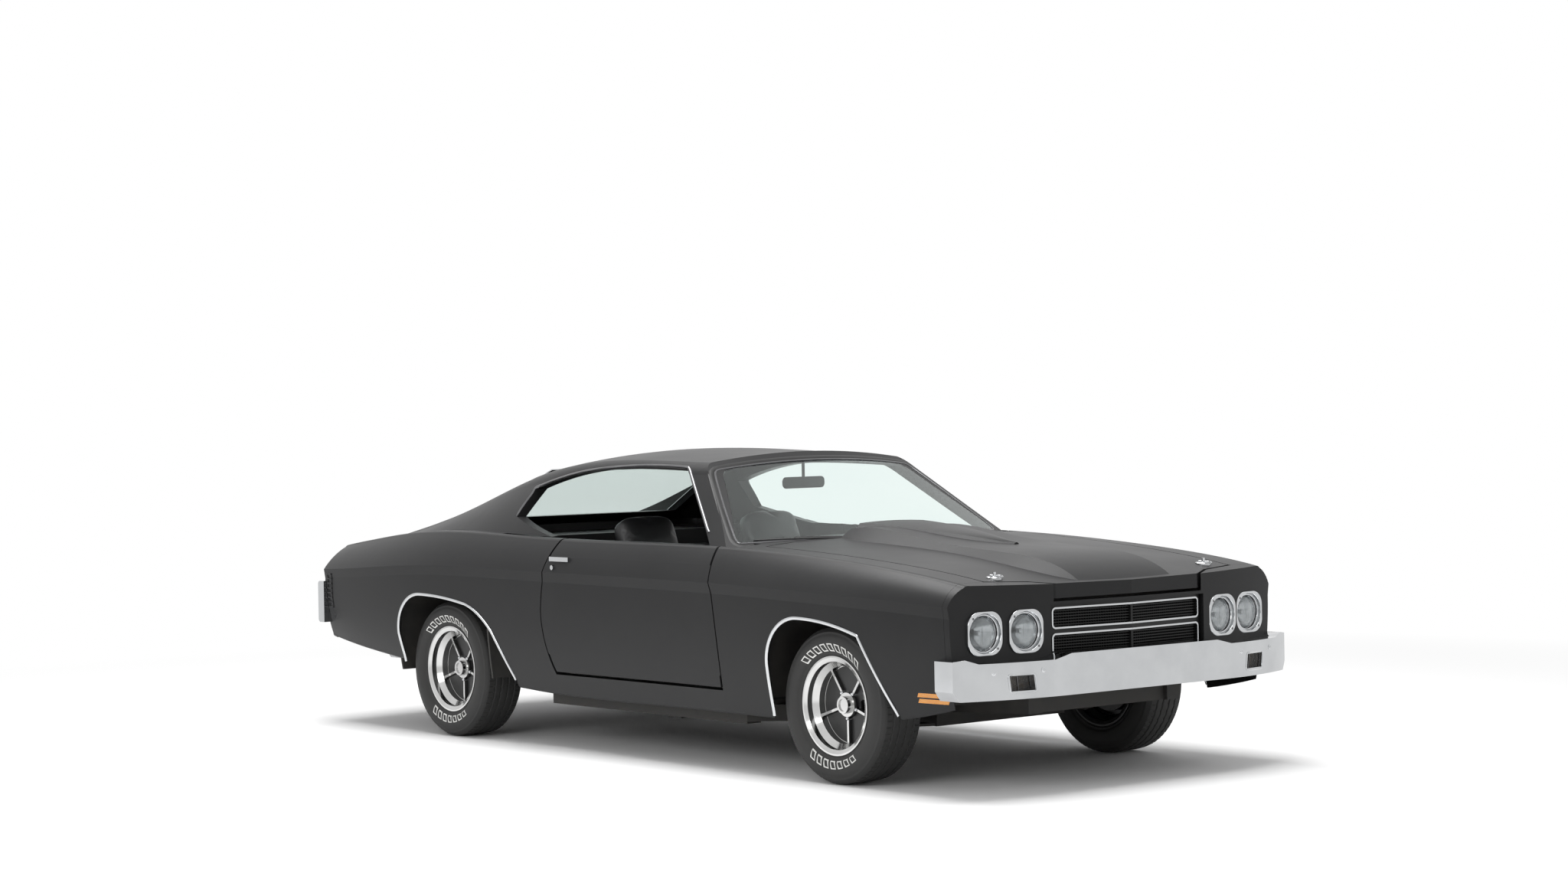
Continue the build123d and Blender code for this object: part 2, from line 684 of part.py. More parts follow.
with BuildPart() as front_header:
    add(skin_shell.part)
    add(block((HEADER_FROM_X, 2700), (-SIDE_OUT, SIDE_OUT), (HEADER_BOTTOM_Z, TOP_OUT)), mode=Mode.INTERSECT)
    add(prism_z(both_sides(HOOD), HOOD_LIP_Z - HOOD_NOSE_GAP, TOP_OUT, HOOD_NOSE_GAP), mode=Mode.SUBTRACT)
    add(block((2200, 2700), (-GRILLE_HALF, GRILLE_HALF), GRILLE_Z), mode=Mode.SUBTRACT)
    for y in lamp_places:
        with BuildSketch(lamp_axis(y)):
            RectangleRounded(2 * BEZEL_HALF, 2 * BEZEL_HALF, BEZEL_ROUND)
        extrude(amount=120, both=True, mode=Mode.SUBTRACT)

sweep_angle = radians(GRILLE_SWEEP)
grille_mid_z = sum(GRILLE_Z) / 2
grille_tall = GRILLE_Z[1] - GRILLE_Z[0]
grille_long = GRILLE_HALF / cos(sweep_angle) - SEAT_FIT
grille_plane = Plane(origin=(GRILLE_FRONT_X, 0, grille_mid_z), x_dir=(-sin(sweep_angle), cos(sweep_angle), 0),
                     z_dir=(cos(sweep_angle), sin(sweep_angle), 0))
cell_high = (grille_tall - 2 * GRILLE_FRAME - GRILLE_BAND) / 2
cell_long = grille_long - GRILLE_FRAME - GRILLE_POST / 2
cell_z = (GRILLE_BAND + cell_high) / 2
cell_x = GRILLE_POST / 2 + cell_long / 2

with BuildPart() as grille:
    with BuildSketch(grille_plane):
        with Locations((grille_long / 2, 0)):
            Rectangle(grille_long, grille_tall - 2 * SEAT_FIT)
        with Locations((cell_x, cell_z), (cell_x, -cell_z)):
            RectangleRounded(cell_long, cell_high, GRILLE_CORNER, mode=Mode.SUBTRACT)
    extrude(amount=-GRILLE_DEPTH)
    bar_pitch = cell_high / (GRILLE_BARS + 1)
    with BuildSketch(grille_plane.offset(-GRILLE_BAR_BACK)):
        for step in range(1, GRILLE_BARS + 1):
            bar_z = step * bar_pitch - cell_high / 2
            with Locations((cell_x, cell_z + bar_z), (cell_x, bar_z - cell_z)):
                Rectangle(cell_long + GRILLE_BAR, GRILLE_BAR)
    extrude(amount=GRILLE_BAR_BACK - GRILLE_DEPTH)
    mirror(about=Plane.XZ)

with BuildPart() as grille_trim:
    with BuildSketch(grille_plane):
        with Locations((cell_x, cell_z), (cell_x, -cell_z)):
            RectangleRounded(cell_long + TRIM_W, cell_high + TRIM_W, GRILLE_CORNER + TRIM_W / 2)
            RectangleRounded(cell_long - TRIM_W, cell_high - TRIM_W, GRILLE_CORNER - TRIM_W / 2, mode=Mode.SUBTRACT)
        with Locations((0, 0)):
            Rectangle(2 * GRILLE_CORNER, grille_tall, mode=Mode.SUBTRACT)
        with Locations((GRILLE_CORNER / 2, cell_z + cell_high / 2), (GRILLE_CORNER / 2, cell_z - cell_high / 2),
                       (GRILLE_CORNER / 2, cell_high / 2 - cell_z), (GRILLE_CORNER / 2, -cell_z - cell_high / 2)):
            Rectangle(GRILLE_CORNER, TRIM_W)
    extrude(amount=TRIM_T)
    mirror(about=Plane.XZ)

with BuildPart() as headlamp_bezels:
    for y in lamp_places:
        with BuildSketch(lamp_axis(y).offset(-BEZEL_DEEP)):
            RectangleRounded(2 * (BEZEL_HALF - SEAT_FIT), 2 * (BEZEL_HALF - SEAT_FIT), BEZEL_ROUND - SEAT_FIT)
        extrude(amount=BEZEL_DEEP + BEZEL_PROUD)
        with BuildSketch(lamp_axis(y).offset(-BEZEL_DEEP)):
            Circle(LENS_R + SEAT_FIT)
        with BuildSketch(lamp_axis(y).offset(BEZEL_PROUD)):
            Circle(BEZEL_MOUTH)
        loft(mode=Mode.SUBTRACT)

with BuildPart() as headlamps:
    for y in lamp_places:
        with BuildSketch(lamp_axis(y).offset(-BEZEL_DEEP)):
            Circle(LENS_R)
        extrude(amount=LENS_T)
        fillet(headlamps.edges(Select.LAST).filter_by(GeomType.CIRCLE).sort_by(Axis.X)[-1], LENS_DOME)


def bumper_block(end_x, face_x, flat, plan, half, z):
    """A bumper's plan, flat across the middle and swept back at each side, carried between two heights."""
    (corner_x, corner_y), (via_x, via_y) = plan
    with BuildPart() as bar:
        with BuildSketch(Plane.XY.offset(z[0])):
            with BuildLine():
                Line((face_x, 0), (face_x, flat))
                ThreePointArc((face_x, flat), (via_x, via_y), (corner_x, corner_y))
                Line((corner_x, corner_y), (end_x, half))
                Line((end_x, half), (end_x, 0))
                mirror(about=Plane.XZ)
            make_face()
        extrude(amount=z[1] - z[0])
    return bar.part


with BuildPart() as turn_pockets:
    add(prism_x(TURN_LAMP, FRONT_BUMPER_END_X + 60, 2700))
    mirror(about=Plane.XZ)

with BuildPart() as bumper_bar:
    add(bumper_block(FRONT_BUMPER_END_X, LENGTH / 2, BUMPER_FLAT, FRONT_BUMPER_PLAN, BUMPER_Y, FRONT_BUMPER_Z))
    add(prism_x(across(FRONT_BUMPER), FRONT_BUMPER_END_X - 10, 2700), mode=Mode.INTERSECT)

with BuildPart() as front_bumper:
    add(bumper_bar.part)
    add(outer_body.part, mode=Mode.SUBTRACT)
    add(turn_pockets.part, mode=Mode.SUBTRACT)

with BuildPart() as turn_lamps:
    add(turn_pockets.part)
    add(bumper_bar.part, mode=Mode.INTERSECT)
    add(outer_body.part, mode=Mode.SUBTRACT)
    add(block((2200, TURN_LAMP_BACK_X), (-SIDE_OUT, SIDE_OUT), (0, TOP_OUT)), mode=Mode.INTERSECT)

with BuildPart() as rear_bar:
    with BuildSketch(Plane.XY.offset(REAR_BUMPER_Z[0])):
        with BuildLine():
            Line((REAR_BUMPER_BACK_X, -REAR_BUMPER_Y), (REAR_BUMPER_END_X, -REAR_BUMPER_Y))
            ThreePointArc((REAR_BUMPER_END_X, -REAR_BUMPER_Y), (-LENGTH / 2, 0), (REAR_BUMPER_END_X, REAR_BUMPER_Y))
            Line((REAR_BUMPER_END_X, REAR_BUMPER_Y), (REAR_BUMPER_BACK_X, REAR_BUMPER_Y))
            Line((REAR_BUMPER_BACK_X, REAR_BUMPER_Y), (REAR_BUMPER_BACK_X, -REAR_BUMPER_Y))
        make_face()
    extrude(amount=REAR_BUMPER_Z[1] - REAR_BUMPER_Z[0])
    fillet(rear_bar.faces().sort_by(Axis.X)[0].edges().filter_by(Plane.XY), BUMPER_EDGE)
    add(outer_body.part, mode=Mode.SUBTRACT)

with BuildPart() as tail_pockets:
    add(prism_x(TAIL_LAMP, -2700, REAR_BUMPER_BACK_X + 30))
    mirror(about=Plane.XZ)

with BuildPart() as rear_bumper:
    add(rear_bar.part)
    add(tail_pockets.part, mode=Mode.SUBTRACT)

with BuildPart() as tail_lamps:
    add(rear_bar.part)
    add(tail_pockets.part, mode=Mode.INTERSECT)

with BuildPart() as side_markers:
    for row in MARKER_ROWS:
        add(marker(row))
    add(skin_shell.part, mode=Mode.INTERSECT)
    mirror(about=Plane.XZ)

for name, piece in (("front_header", front_header), ("grille", grille), ("headlamp_bezels", headlamp_bezels), ("grille_trim", grille_trim),
                    ("headlamps", headlamps), ("front_bumper", front_bumper), ("rear_bumper", rear_bumper),
                    ("turn_lamps", turn_lamps), ("tail_lamps", tail_lamps), ("side_markers", side_markers)):
    write(name, piece)

# ---------------------------------------------------------------- cowl, floor and frame
FIREWALL_X = 985.0
FIREWALL_T = 20.0
FLOOR_Z = 276.0
FLOOR_T = 24.0
TUNNEL_X = (-880.0, 965.0)
TUNNEL_HALF = 130.0
TUNNEL_Z = 452.0
CABIN_HALF = 776.0
HOUSE_HALF = 586.0
HOUSE_T = 12.0
HOUSE_GAP = 0.3
FLOOR_STEPS = [(FIREWALL_X - FIREWALL_T, 276.0), (-560.0, 276.0), (-640.0, 350.0), (-900.0, 400.0), (-1010.0, 520.0),
               (-1590.0, 520.0), (-1700.0, 430.0), (-2360.0, 430.0)]
FRONT_HOUSE = [(-412.0, 100.0), (-412.0, 560.0), (-220.0, 716.0, -356.0, 672.0), (220.0, 716.0),
               (412.0, 560.0, 356.0, 672.0), (412.0, 100.0)]
REAR_HOUSE = [(-390.0, 100.0), (-390.0, 560.0), (-200.0, 720.0, -340.0, 676.0), (200.0, 720.0),
              (390.0, 560.0, 340.0, 676.0), (390.0, 100.0)]
FRONT_HOUSE_Y = 455.0
PILLAR_Y = (700.0, 850.0)
HINGE_LEAVES = (470.0, 760.0)
HOOD_POST_Y = 620.0
RAIL_T = 75.0
FRONT_RAIL_Y = 360.0
SILL_RAIL_Y = 690.0
REAR_RAIL_Y = 495.0
RAIL_OUT = 0.3


def house(arch, axle_x, inner_y, low_z, wall_z):
    """One wheelhouse: an arched sheet closed by a wall on its inner side, above the axle or the arms."""
    with BuildPart() as wall:
        add(arch_prism(arch, axle_x, HOUSE_T))
        add(block((axle_x - 500, axle_x + 500), (inner_y, inner_y + HOUSE_T), (wall_z, 800)), mode=Mode.INTERSECT)
    with BuildPart() as tub:
        add(arch_prism(arch, axle_x, HOUSE_T))
        add(arch_prism(arch, axle_x), mode=Mode.SUBTRACT)
        add(block((axle_x - 500, axle_x + 500), (inner_y, 940), (low_z, 800)), mode=Mode.INTERSECT)
        add(inner_body.part, mode=Mode.INTERSECT)
        add(wall.part)
    return tub.part


def rail(points, y_low):
    return prism_y(points, y_low, y_low + RAIL_T)


with BuildPart() as skin_post_cut:
    add(skin_shell.part)
    add(block((HOOD_REAR_X, 1100), (-700, 700), (700, TOP_OUT)), mode=Mode.INTERSECT)

with BuildPart() as cowl_top:
    add(skin_shell.part)
    add(block((760, HOOD_REAR_X - GAP), (-690, 690), (900, TOP_OUT)), mode=Mode.INTERSECT)

with BuildPart() as cowl:
    add(block((FIREWALL_X - FIREWALL_T, FIREWALL_X), (-850, 850), (300, 930)))
    add(inner_body.part, mode=Mode.INTERSECT)
    add(cowl_top.part)
    for side in (1, -1):
        pillar_y = sorted((side * PILLAR_Y[0], side * PILLAR_Y[1]))
        shelf_y = sorted((side * 660, side * 792))
        add(block((893, FIREWALL_X), pillar_y, (300, 900)))
        add(block((760, FIREWALL_X), shelf_y, (886, 914)))
        leaf_y = sorted((side * 835, side * 880))
        for z in HINGE_LEAVES:
            add(block((860, 930), leaf_y, (z - 30, z + 30)))
        post_y = sorted((side * HOOD_POST_Y, side * (HOOD_POST_Y + 30)))
        add(block((FIREWALL_X - 10, 1012), post_y, (800, 945)))
    add(prism_y(DOOR, -SIDE_OUT, SIDE_OUT, SEAT_FIT - DOOR_STEP), mode=Mode.SUBTRACT)
    with Locations((0, 0, -SEAT_FIT)):
        add(skin_post_cut.part, mode=Mode.SUBTRACT)
    add(block((900, 1100), (FLOOR_T - TUNNEL_HALF, TUNNEL_HALF - FLOOR_T), (0, TUNNEL_Z - FLOOR_T)), mode=Mode.SUBTRACT)

with BuildPart() as footprint:
    add(block((-870, 1000), (-CABIN_HALF, CABIN_HALF), (200, 900)))
    add(block((-1690, -870), (-HOUSE_HALF, HOUSE_HALF), (200, 900)))
    add(block((-2380, -1690), (-840, 840), (200, 900)))
    add(inner_body.part, mode=Mode.INTERSECT)

with BuildPart() as floor_pan:
    upper = [(x, z + FLOOR_T) for x, z in FLOOR_STEPS]
    add(prism_y(FLOOR_STEPS + upper[::-1], -SIDE_OUT, SIDE_OUT))
    add(footprint.part, mode=Mode.INTERSECT)
    add(block(TUNNEL_X, (-TUNNEL_HALF, TUNNEL_HALF), (FLOOR_Z, TUNNEL_Z)))
    add(block(TUNNEL_X, (FLOOR_T - TUNNEL_HALF, TUNNEL_HALF - FLOOR_T), (FLOOR_Z - 10, TUNNEL_Z - FLOOR_T)), mode=Mode.SUBTRACT)

with BuildPart() as wheelhouses:
    add(house(FRONT_HOUSE, FRONT_AXLE_X, FRONT_HOUSE_Y, 330, 462))
    add(house(REAR_HOUSE, REAR_AXLE_X, HOUSE_HALF + HOUSE_GAP, 300, 400))
    mirror(about=Plane.XZ)

front_rail = [(1100, 250), (2270, 300), (2270, 390), (1500, 390), (1100, 330)]
RAIL_TOP = FLOOR_Z - SEAT_FIT
sill_rail = [(880, 195), (880, RAIL_TOP), (-560, RAIL_TOP), (-560, 195)]
rear_rail = [(-420, 195), (-420, RAIL_TOP), (-566, RAIL_TOP), (-646, 338), (-905, 386), (-1015, 502), (-1580, 502),
             (-1700, 404), (-2330, 404), (-2330, 335), (-1680, 335), (-1560, 430), (-1040, 430), (-930, 318),
             (-660, 268), (-580, 195)]
torque_box = [(1180, FRONT_RAIL_Y), (1180, FRONT_RAIL_Y + RAIL_T), (880, SILL_RAIL_Y + RAIL_T), (780, SILL_RAIL_Y + RAIL_T),
              (780, SILL_RAIL_Y), (900, FRONT_RAIL_Y)]
rear_box = [(-420, SILL_RAIL_Y), (-420, SILL_RAIL_Y + RAIL_T), (-560, SILL_RAIL_Y + RAIL_T), (-760, REAR_RAIL_Y + RAIL_T),
            (-760, REAR_RAIL_Y), (-620, REAR_RAIL_Y)]
crossbars = [((2180, 2250), (300, 370)), ((1490, 1650), (205, 300)), ((240, 330), (178, 232)), ((-1790, -1730), (345, 400)),
             ((-2320, -2270), (345, 400))]

with BuildPart() as frame:
    add(rail(front_rail, FRONT_RAIL_Y))
    add(rail(sill_rail, SILL_RAIL_Y))
    add(rail(rear_rail, REAR_RAIL_Y))
    add(prism_z(torque_box, 205, RAIL_TOP))
    add(prism_z(rear_box, 205, RAIL_TOP))
    add(block((1500, 1640), (FRONT_RAIL_Y, FRONT_RAIL_Y + RAIL_T), (380, 452)))
    mirror(about=Plane.XZ)
    for x, z in crossbars:
        half = SILL_RAIL_Y + 10 if x[0] == 240 else REAR_RAIL_Y + 10 if x[0] < 0 else FRONT_RAIL_Y + 10
        add(block(x, (-half, half), z))

for name, piece in (("cowl", cowl), ("floor_pan", floor_pan), ("wheelhouses", wheelhouses), ("frame", frame)):
    write(name, piece)

# ---------------------------------------------------------------- running gear
HUB_HOLE = 16.0 + WHEEL_GAP
SPINDLE_R = 16.0
HUB_R = 50.0
HUB_OUT = 32.0
HUB_HOLE_END = 22.0
DISC_OUT = 2.0
DISC_T = 9.0
RIM_BARREL_R = 162.0
RIDGE_W = 18.0
RIDGE_T = 15.0
RIDGE_TAPER = 14.0
CAP_R = 37.0
CAP_T = 22.0
CAP_TAPER = 6.0
CAP_DISH_R = 26.0
CAP_DISH_DEEP = 6.0
WINDOW_ROUND = 9.0
DRUM_OUT = -44.0
DRUM_T = 36.0
DRUM_R = 140.0
KINGPIN_Y = 668.0
KINGPIN_R = 21.0
ARM_PAD_R = 26.0
ARM_T = 11.0
POST_DOWN = 92.0
POST_UP = 108.0
AXLE_TUBE_R = 42.0
DIFF_R = 140.0
RIM_WALL = 7.0
SPOKES = 5

wheel_places = {
    "front_left": (FRONT_AXLE_X, 1),
    "front_right": (FRONT_AXLE_X, -1),
    "rear_left": (REAR_AXLE_X, 1),
    "rear_right": (REAR_AXLE_X, -1),
}

# Rim section from the outer lip to the inner, radius and offset from the wheel's middle plane.
RIM_OUTSIDE = [(204.0, 97.0), (204.0, 91.0), (189.0, 86.0), (189.0, 62.0), (168.0, 46.0), (168.0, -34.0),
               (189.0, -62.0), (189.0, -86.0), (204.0, -91.0), (204.0, -97.0)]
RIM_INSIDE = [(197.0, -97.0), (181.0, -89.0), (181.0, -60.0), (160.0, -31.0), (160.0, 43.0), (181.0, 64.0),
              (181.0, 89.0), (197.0, 97.0)]
# Half of the opening between two spokes: radius and half-width. Half of the tyre's section: radius and offset.
WHEEL_WINDOW = [(66.0, 17.0), (118.0, 46.0), (149.0, 52.0)]
TYRE_SECTION = [(189.3, 85.0), (206.0, 91.0), (228.0, 108.0), (258.0, TYRE_W / 2), (292.0, 107.0), (314.0, 92.0),
                (TYRE_R, 70.0)]


def wheel_face(out):
    """A plane square to the wheel's axis, out from its middle plane."""
    return Plane(origin=(0, out, 0), x_dir=(1, 0, 0), z_dir=(0, 1, 0))


with BuildPart() as wheel_pattern:
    with BuildSketch(Plane.ZY):
        with BuildLine():
            Polyline(*RIM_OUTSIDE, *RIM_INSIDE, close=True)
        make_face()
    revolve(axis=Axis.Y)
    with BuildSketch(wheel_face(DISC_OUT)):
        Circle(RIM_BARREL_R)
    extrude(amount=DISC_T)
    with BuildSketch(wheel_face(DISC_OUT)) as windows_face:
        with PolarLocations(0, SPOKES, start_angle=90 + 180 / SPOKES):
            with BuildLine():
                Polyline(*WHEEL_WINDOW, *[(r, -w) for r, w in WHEEL_WINDOW[::-1]], close=True)
            make_face()
        fillet(windows_face.vertices(), WINDOW_ROUND)
    extrude(amount=DISC_T, mode=Mode.SUBTRACT)
    with BuildSketch(wheel_face(DISC_OUT + DISC_T)):
        with PolarLocations((HUB_R + RIM_BARREL_R) / 2, SPOKES, start_angle=90):
            Rectangle(RIM_BARREL_R - HUB_R + 16, RIDGE_W)
    extrude(amount=RIDGE_T, taper=RIDGE_TAPER)
    with BuildSketch(wheel_face(DRUM_OUT)):
        Circle(HUB_R)
    extrude(amount=HUB_OUT - DRUM_OUT)
    with BuildSketch(wheel_face(DRUM_OUT)):
        Circle(DRUM_R)
    extrude(amount=DRUM_T)
    with BuildSketch(wheel_face(HUB_OUT)):
        Circle(CAP_R)
    extrude(amount=CAP_T, taper=CAP_TAPER)
    with BuildSketch(wheel_face(HUB_OUT + CAP_T)):
        Circle(CAP_DISH_R)
    extrude(amount=-CAP_DISH_DEEP, mode=Mode.SUBTRACT)
    with BuildSketch(wheel_face(DRUM_OUT)):
        Circle(HUB_HOLE)
    extrude(amount=HUB_HOLE_END - DRUM_OUT, mode=Mode.SUBTRACT)

with BuildPart() as tyre_pattern:
    with BuildSketch(Plane.ZY):
        with BuildLine():
            Polyline(*TYRE_SECTION, *[(r, -out) for r, out in TYRE_SECTION[::-1]], close=True)
        make_face()
    revolve(axis=Axis.Y)


def placed(pattern, axle_x, side):
    """The left-hand pattern set on one hub, mirrored for the right side."""
    piece = pattern if side > 0 else mirror(pattern, about=Plane.XZ)
    with BuildPart() as copy:
        with Locations((axle_x, side * WHEEL_Y, WHEEL_Z)):
            add(piece)
    return copy


for place, (axle_x, side) in wheel_places.items():
    write(f"wheel_{place}", placed(wheel_pattern.part, axle_x, side))
    write(f"tyre_{place}", placed(tyre_pattern.part, axle_x, side))

lean = radians(KINGPIN_LEAN)


def kingpin_plane(side, up):
    """A plane square to the steering axis, up along it from the hub's height."""
    y = side * (KINGPIN_Y - up * sin(lean))
    return Plane(origin=(FRONT_AXLE_X, y, WHEEL_Z + up * cos(lean)), x_dir=(1, 0, 0),
                 z_dir=(0, -side * sin(lean), cos(lean)))


def make_knuckle(side):
    with BuildPart() as knuckle:
        with BuildSketch(kingpin_plane(side, -POST_DOWN)):
            Circle(KINGPIN_R)
        extrude(amount=POST_DOWN + POST_UP)
        with BuildSketch(Plane(origin=(FRONT_AXLE_X, side * 650, WHEEL_Z), x_dir=(1, 0, 0), z_dir=(0, side, 0))):
            Circle(SPINDLE_R)
        extrude(amount=125)
        with BuildSketch(Plane(origin=(FRONT_AXLE_X, side * 650, WHEEL_Z), x_dir=(1, 0, 0), z_dir=(0, side, 0))):
            Circle(34)
        extrude(amount=54)
        add(block((FRONT_AXLE_X - 150, FRONT_AXLE_X), sorted((side * 642, side * 668)), (278, 304)))
    return knuckle


write("knuckle_left", make_knuckle(1))
write("knuckle_right", make_knuckle(-1))

ARM_ROWS = [
    # end along the kingpin, half-width at the frame, thickness of the pad at the joint
    (-POST_DOWN - SEAT_FIT, 140.0, -18.0),
    (POST_UP + SEAT_FIT, 88.0, 18.0),
]
with BuildPart() as front_arms:
    for end, half, pad in ARM_ROWS:
        with BuildSketch(kingpin_plane(1, end)):
            Circle(ARM_PAD_R)
        extrude(amount=pad)
        joint_y = KINGPIN_Y - end * sin(lean) - ARM_PAD_R / 2
        root_y = FRONT_RAIL_Y + RAIL_T + SEAT_FIT
        arm = [(FRONT_AXLE_X - half, root_y), (FRONT_AXLE_X + half, root_y), (FRONT_AXLE_X + 20, joint_y),
               (FRONT_AXLE_X - 20, joint_y)]
        pad_z = WHEEL_Z + (end + pad / 2) * cos(lean)
        add(prism_z(arm, pad_z - ARM_T / 2, pad_z + ARM_T / 2))
    mirror(about=Plane.XZ)

with BuildPart() as rear_axle:
    with BuildSketch(Plane(origin=(REAR_AXLE_X, 0, WHEEL_Z), x_dir=(1, 0, 0), z_dir=(0, 1, 0))):
        Circle(AXLE_TUBE_R)
    extrude(amount=680, both=True)
    with BuildSketch(Plane(origin=(REAR_AXLE_X, 0, WHEEL_Z), x_dir=(1, 0, 0), z_dir=(0, 1, 0))):
        Circle(SPINDLE_R)
    extrude(amount=WHEEL_Y + 14, both=True)
    with BuildSketch(Plane(origin=(REAR_AXLE_X, 0, WHEEL_Z), x_dir=(1, 0, 0), z_dir=(0, 1, 0))):
        Circle(DIFF_R)
    extrude(amount=70, both=True)
    with BuildSketch(Plane(origin=(REAR_AXLE_X + 120, 0, WHEEL_Z), x_dir=(0, 1, 0), z_dir=(1, 0, 0))):
        Circle(48)
    extrude(amount=90)

with BuildPart() as driveshaft:
    with BuildSketch(Plane(origin=(REAR_AXLE_X + 210, 0, WHEEL_Z), x_dir=(0, 1, 0), z_dir=(1, 0, 0))):
        Circle(38)
    extrude(amount=1285)

with BuildPart() as engine:
    add(block((1290, 1860), (-270, 270), (330, 800)))
    add(block((1000, 1290), (-180, 180), (310, 640)))
    add(block((1300, 1800), (-150, 150), (300 + SEAT_FIT, 330)))

with BuildPart() as gearbox:
    with BuildSketch(Plane(origin=(220, 0, WHEEL_Z), x_dir=(0, 1, 0), z_dir=(1, 0, 0))):
        Circle(85)
    extrude(amount=780)

write("front_arms", front_arms)
write("rear_axle", rear_axle)
write("driveshaft", driveshaft)
write("engine", engine)
write("gearbox", gearbox)

# ---------------------------------------------------------------- cabin
SEAT_Y = 370.0
SEAT_HALF = 235.0
SEAT_TRACK_Y = 165.0
COLUMN_TOP = (420.0, 370.0, 800.0)
COLUMN_TILT = 24.0
STEER_RING_R = 188.0
STEER_RIM_R = 9.5
SEAT_SIDE = [(-190, 330), (330, 360), (345, 480), (250, 505), (-70, 480), (-150, 700), (-270, 985), (-350, 1060),
             (-420, 1050), (-420, 960), (-350, 800)]
REAR_SEAT_SIDE = [(-990, 548), (-900, TUNNEL_Z + SEAT_FIT), (-430, TUNNEL_Z + SEAT_FIT), (-420, 520), (-760, 545), (-960, 900),
                  (-990, 900)]
DASH_X = FIREWALL_X - FIREWALL_T - SEAT_FIT
DASH_SIDE = [(DASH_X, 700), (DASH_X, 930), (800, 930), (640, 905), (590, 850), (600, 700), (700, 640), (DASH_X, 640)]

with BuildPart() as front_seats:
    add(prism_y(SEAT_SIDE, SEAT_Y - SEAT_HALF, SEAT_Y + SEAT_HALF))
    for y in (SEAT_Y - SEAT_TRACK_Y, SEAT_Y + SEAT_TRACK_Y):
        add(block((-180, 290), (y - 16, y + 16), (FLOOR_Z + FLOOR_T + SEAT_FIT, 370)))
    mirror(about=Plane.XZ)

with BuildPart() as rear_seat:
    add(prism_y(REAR_SEAT_SIDE, -585, 585))

with BuildPart() as dashboard:
    add(prism_y(DASH_SIDE, -655, 655))
    add(outer_body.part, mode=Mode.INTERSECT)
    add(skin_shell.part, mode=Mode.SUBTRACT)

column_dir = (-cos(radians(COLUMN_TILT)), 0, sin(radians(COLUMN_TILT)))
column_plane = Plane(origin=COLUMN_TOP, x_dir=(0, 1, 0), z_dir=column_dir)

with BuildPart() as steering_wheel:
    with BuildSketch(Plane(origin=COLUMN_TOP, x_dir=(0, 1, 0), z_dir=column_plane.y_dir)):
        with Locations((STEER_RING_R, 0)):
            Circle(STEER_RIM_R)
    revolve(axis=Axis(COLUMN_TOP, column_dir))
    with BuildSketch(column_plane.offset(-16)):
        Circle(34)
        with PolarLocations(0, 3, start_angle=90):
            with Locations((STEER_RING_R / 2, 0)):
                Rectangle(STEER_RING_R, 26)
    extrude(amount=8)
    with BuildSketch(column_plane.offset(-44)):
        Circle(30)
    extrude(amount=44)

with BuildPart() as steering_column:
    with BuildSketch(column_plane.offset(-44 - SEAT_FIT)):
        Circle(28)
    extrude(amount=-380)
    add(dashboard.part, mode=Mode.SUBTRACT)
    add(block((300, FIREWALL_X - FIREWALL_T), (200, 500), (300, 1000)), mode=Mode.INTERSECT)

with BuildPart() as inside_mirror:
    add(block((352, 372), (-125, 125), (1172, 1226)))
    add(block((356, 366), (-8, 8), (1220, 1325)))
    add(roof.part, mode=Mode.SUBTRACT)

# Each exhaust run: from the engine to the muffler, and from the muffler over the axle to the tail.
PIPE_R = 21.0
PIPE_WALL = 3.0
PIPE_BEND = 70.0
MUFFLER_X = (-560.0, 60.0)
MUFFLER_Y = 290.0
MUFFLER_WIDE = 130.0
MUFFLER_HIGH = 66.0
MUFFLER_Z = FLOOR_Z - SEAT_FIT - MUFFLER_HIGH / 2
PIPE_UNDER = 1.0
PIPE_Z = FLOOR_Z - SEAT_FIT - PIPE_R - PIPE_UNDER
FRONT_PIPE = [(1310.0, 250.0, 330.0 - SEAT_FIT), (1310.0, 250.0, PIPE_Z), (700.0, MUFFLER_Y, PIPE_Z),
              (MUFFLER_X[1] - 10, MUFFLER_Y, PIPE_Z)]
TAIL_PIPE = [(MUFFLER_X[0] + 10, MUFFLER_Y, MUFFLER_Z), (-720.0, MUFFLER_Y, MUFFLER_Z), (-1090.0, 330.0, 425.0),
             (-1420.0, 400.0, 425.0), (-1690.0, 457.0, 312.0), (-2440.0, 457.0, 312.0)]


def pipe(points, bends):
    with BuildPart() as tube:
        with BuildLine() as run:
            FilletPolyline(*points, radius=bends)
        with BuildSketch(run.line ^ 0):
            Circle(PIPE_R)
        sweep()
    return tube.part


with BuildPart() as exhaust:
    with BuildSketch(Plane(origin=(MUFFLER_X[0], MUFFLER_Y, MUFFLER_Z), x_dir=(0, 1, 0), z_dir=(1, 0, 0))):
        Ellipse(MUFFLER_WIDE / 2, MUFFLER_HIGH / 2)
    extrude(amount=MUFFLER_X[1] - MUFFLER_X[0])
    add(pipe(FRONT_PIPE, [30, PIPE_BEND]))
    add(pipe(TAIL_PIPE, PIPE_BEND))
    with BuildSketch(Plane(origin=TAIL_PIPE[-1], x_dir=(0, 1, 0), z_dir=(1, 0, 0))):
        Circle(PIPE_R - PIPE_WALL)
    extrude(amount=120, mode=Mode.SUBTRACT)
    mirror(about=Plane.XZ)

with BuildPart() as fuel_tank:
    add(block((-2240, -1810), (-420, 420), (270, 430 - SEAT_FIT)))

with BuildPart() as radiator_support:
    add(block((2100, 2180), (-340, 340), (390 + SEAT_FIT, 760)))
    add(block((2180, 2196), (-700, 700), (390 + SEAT_FIT, 770)))

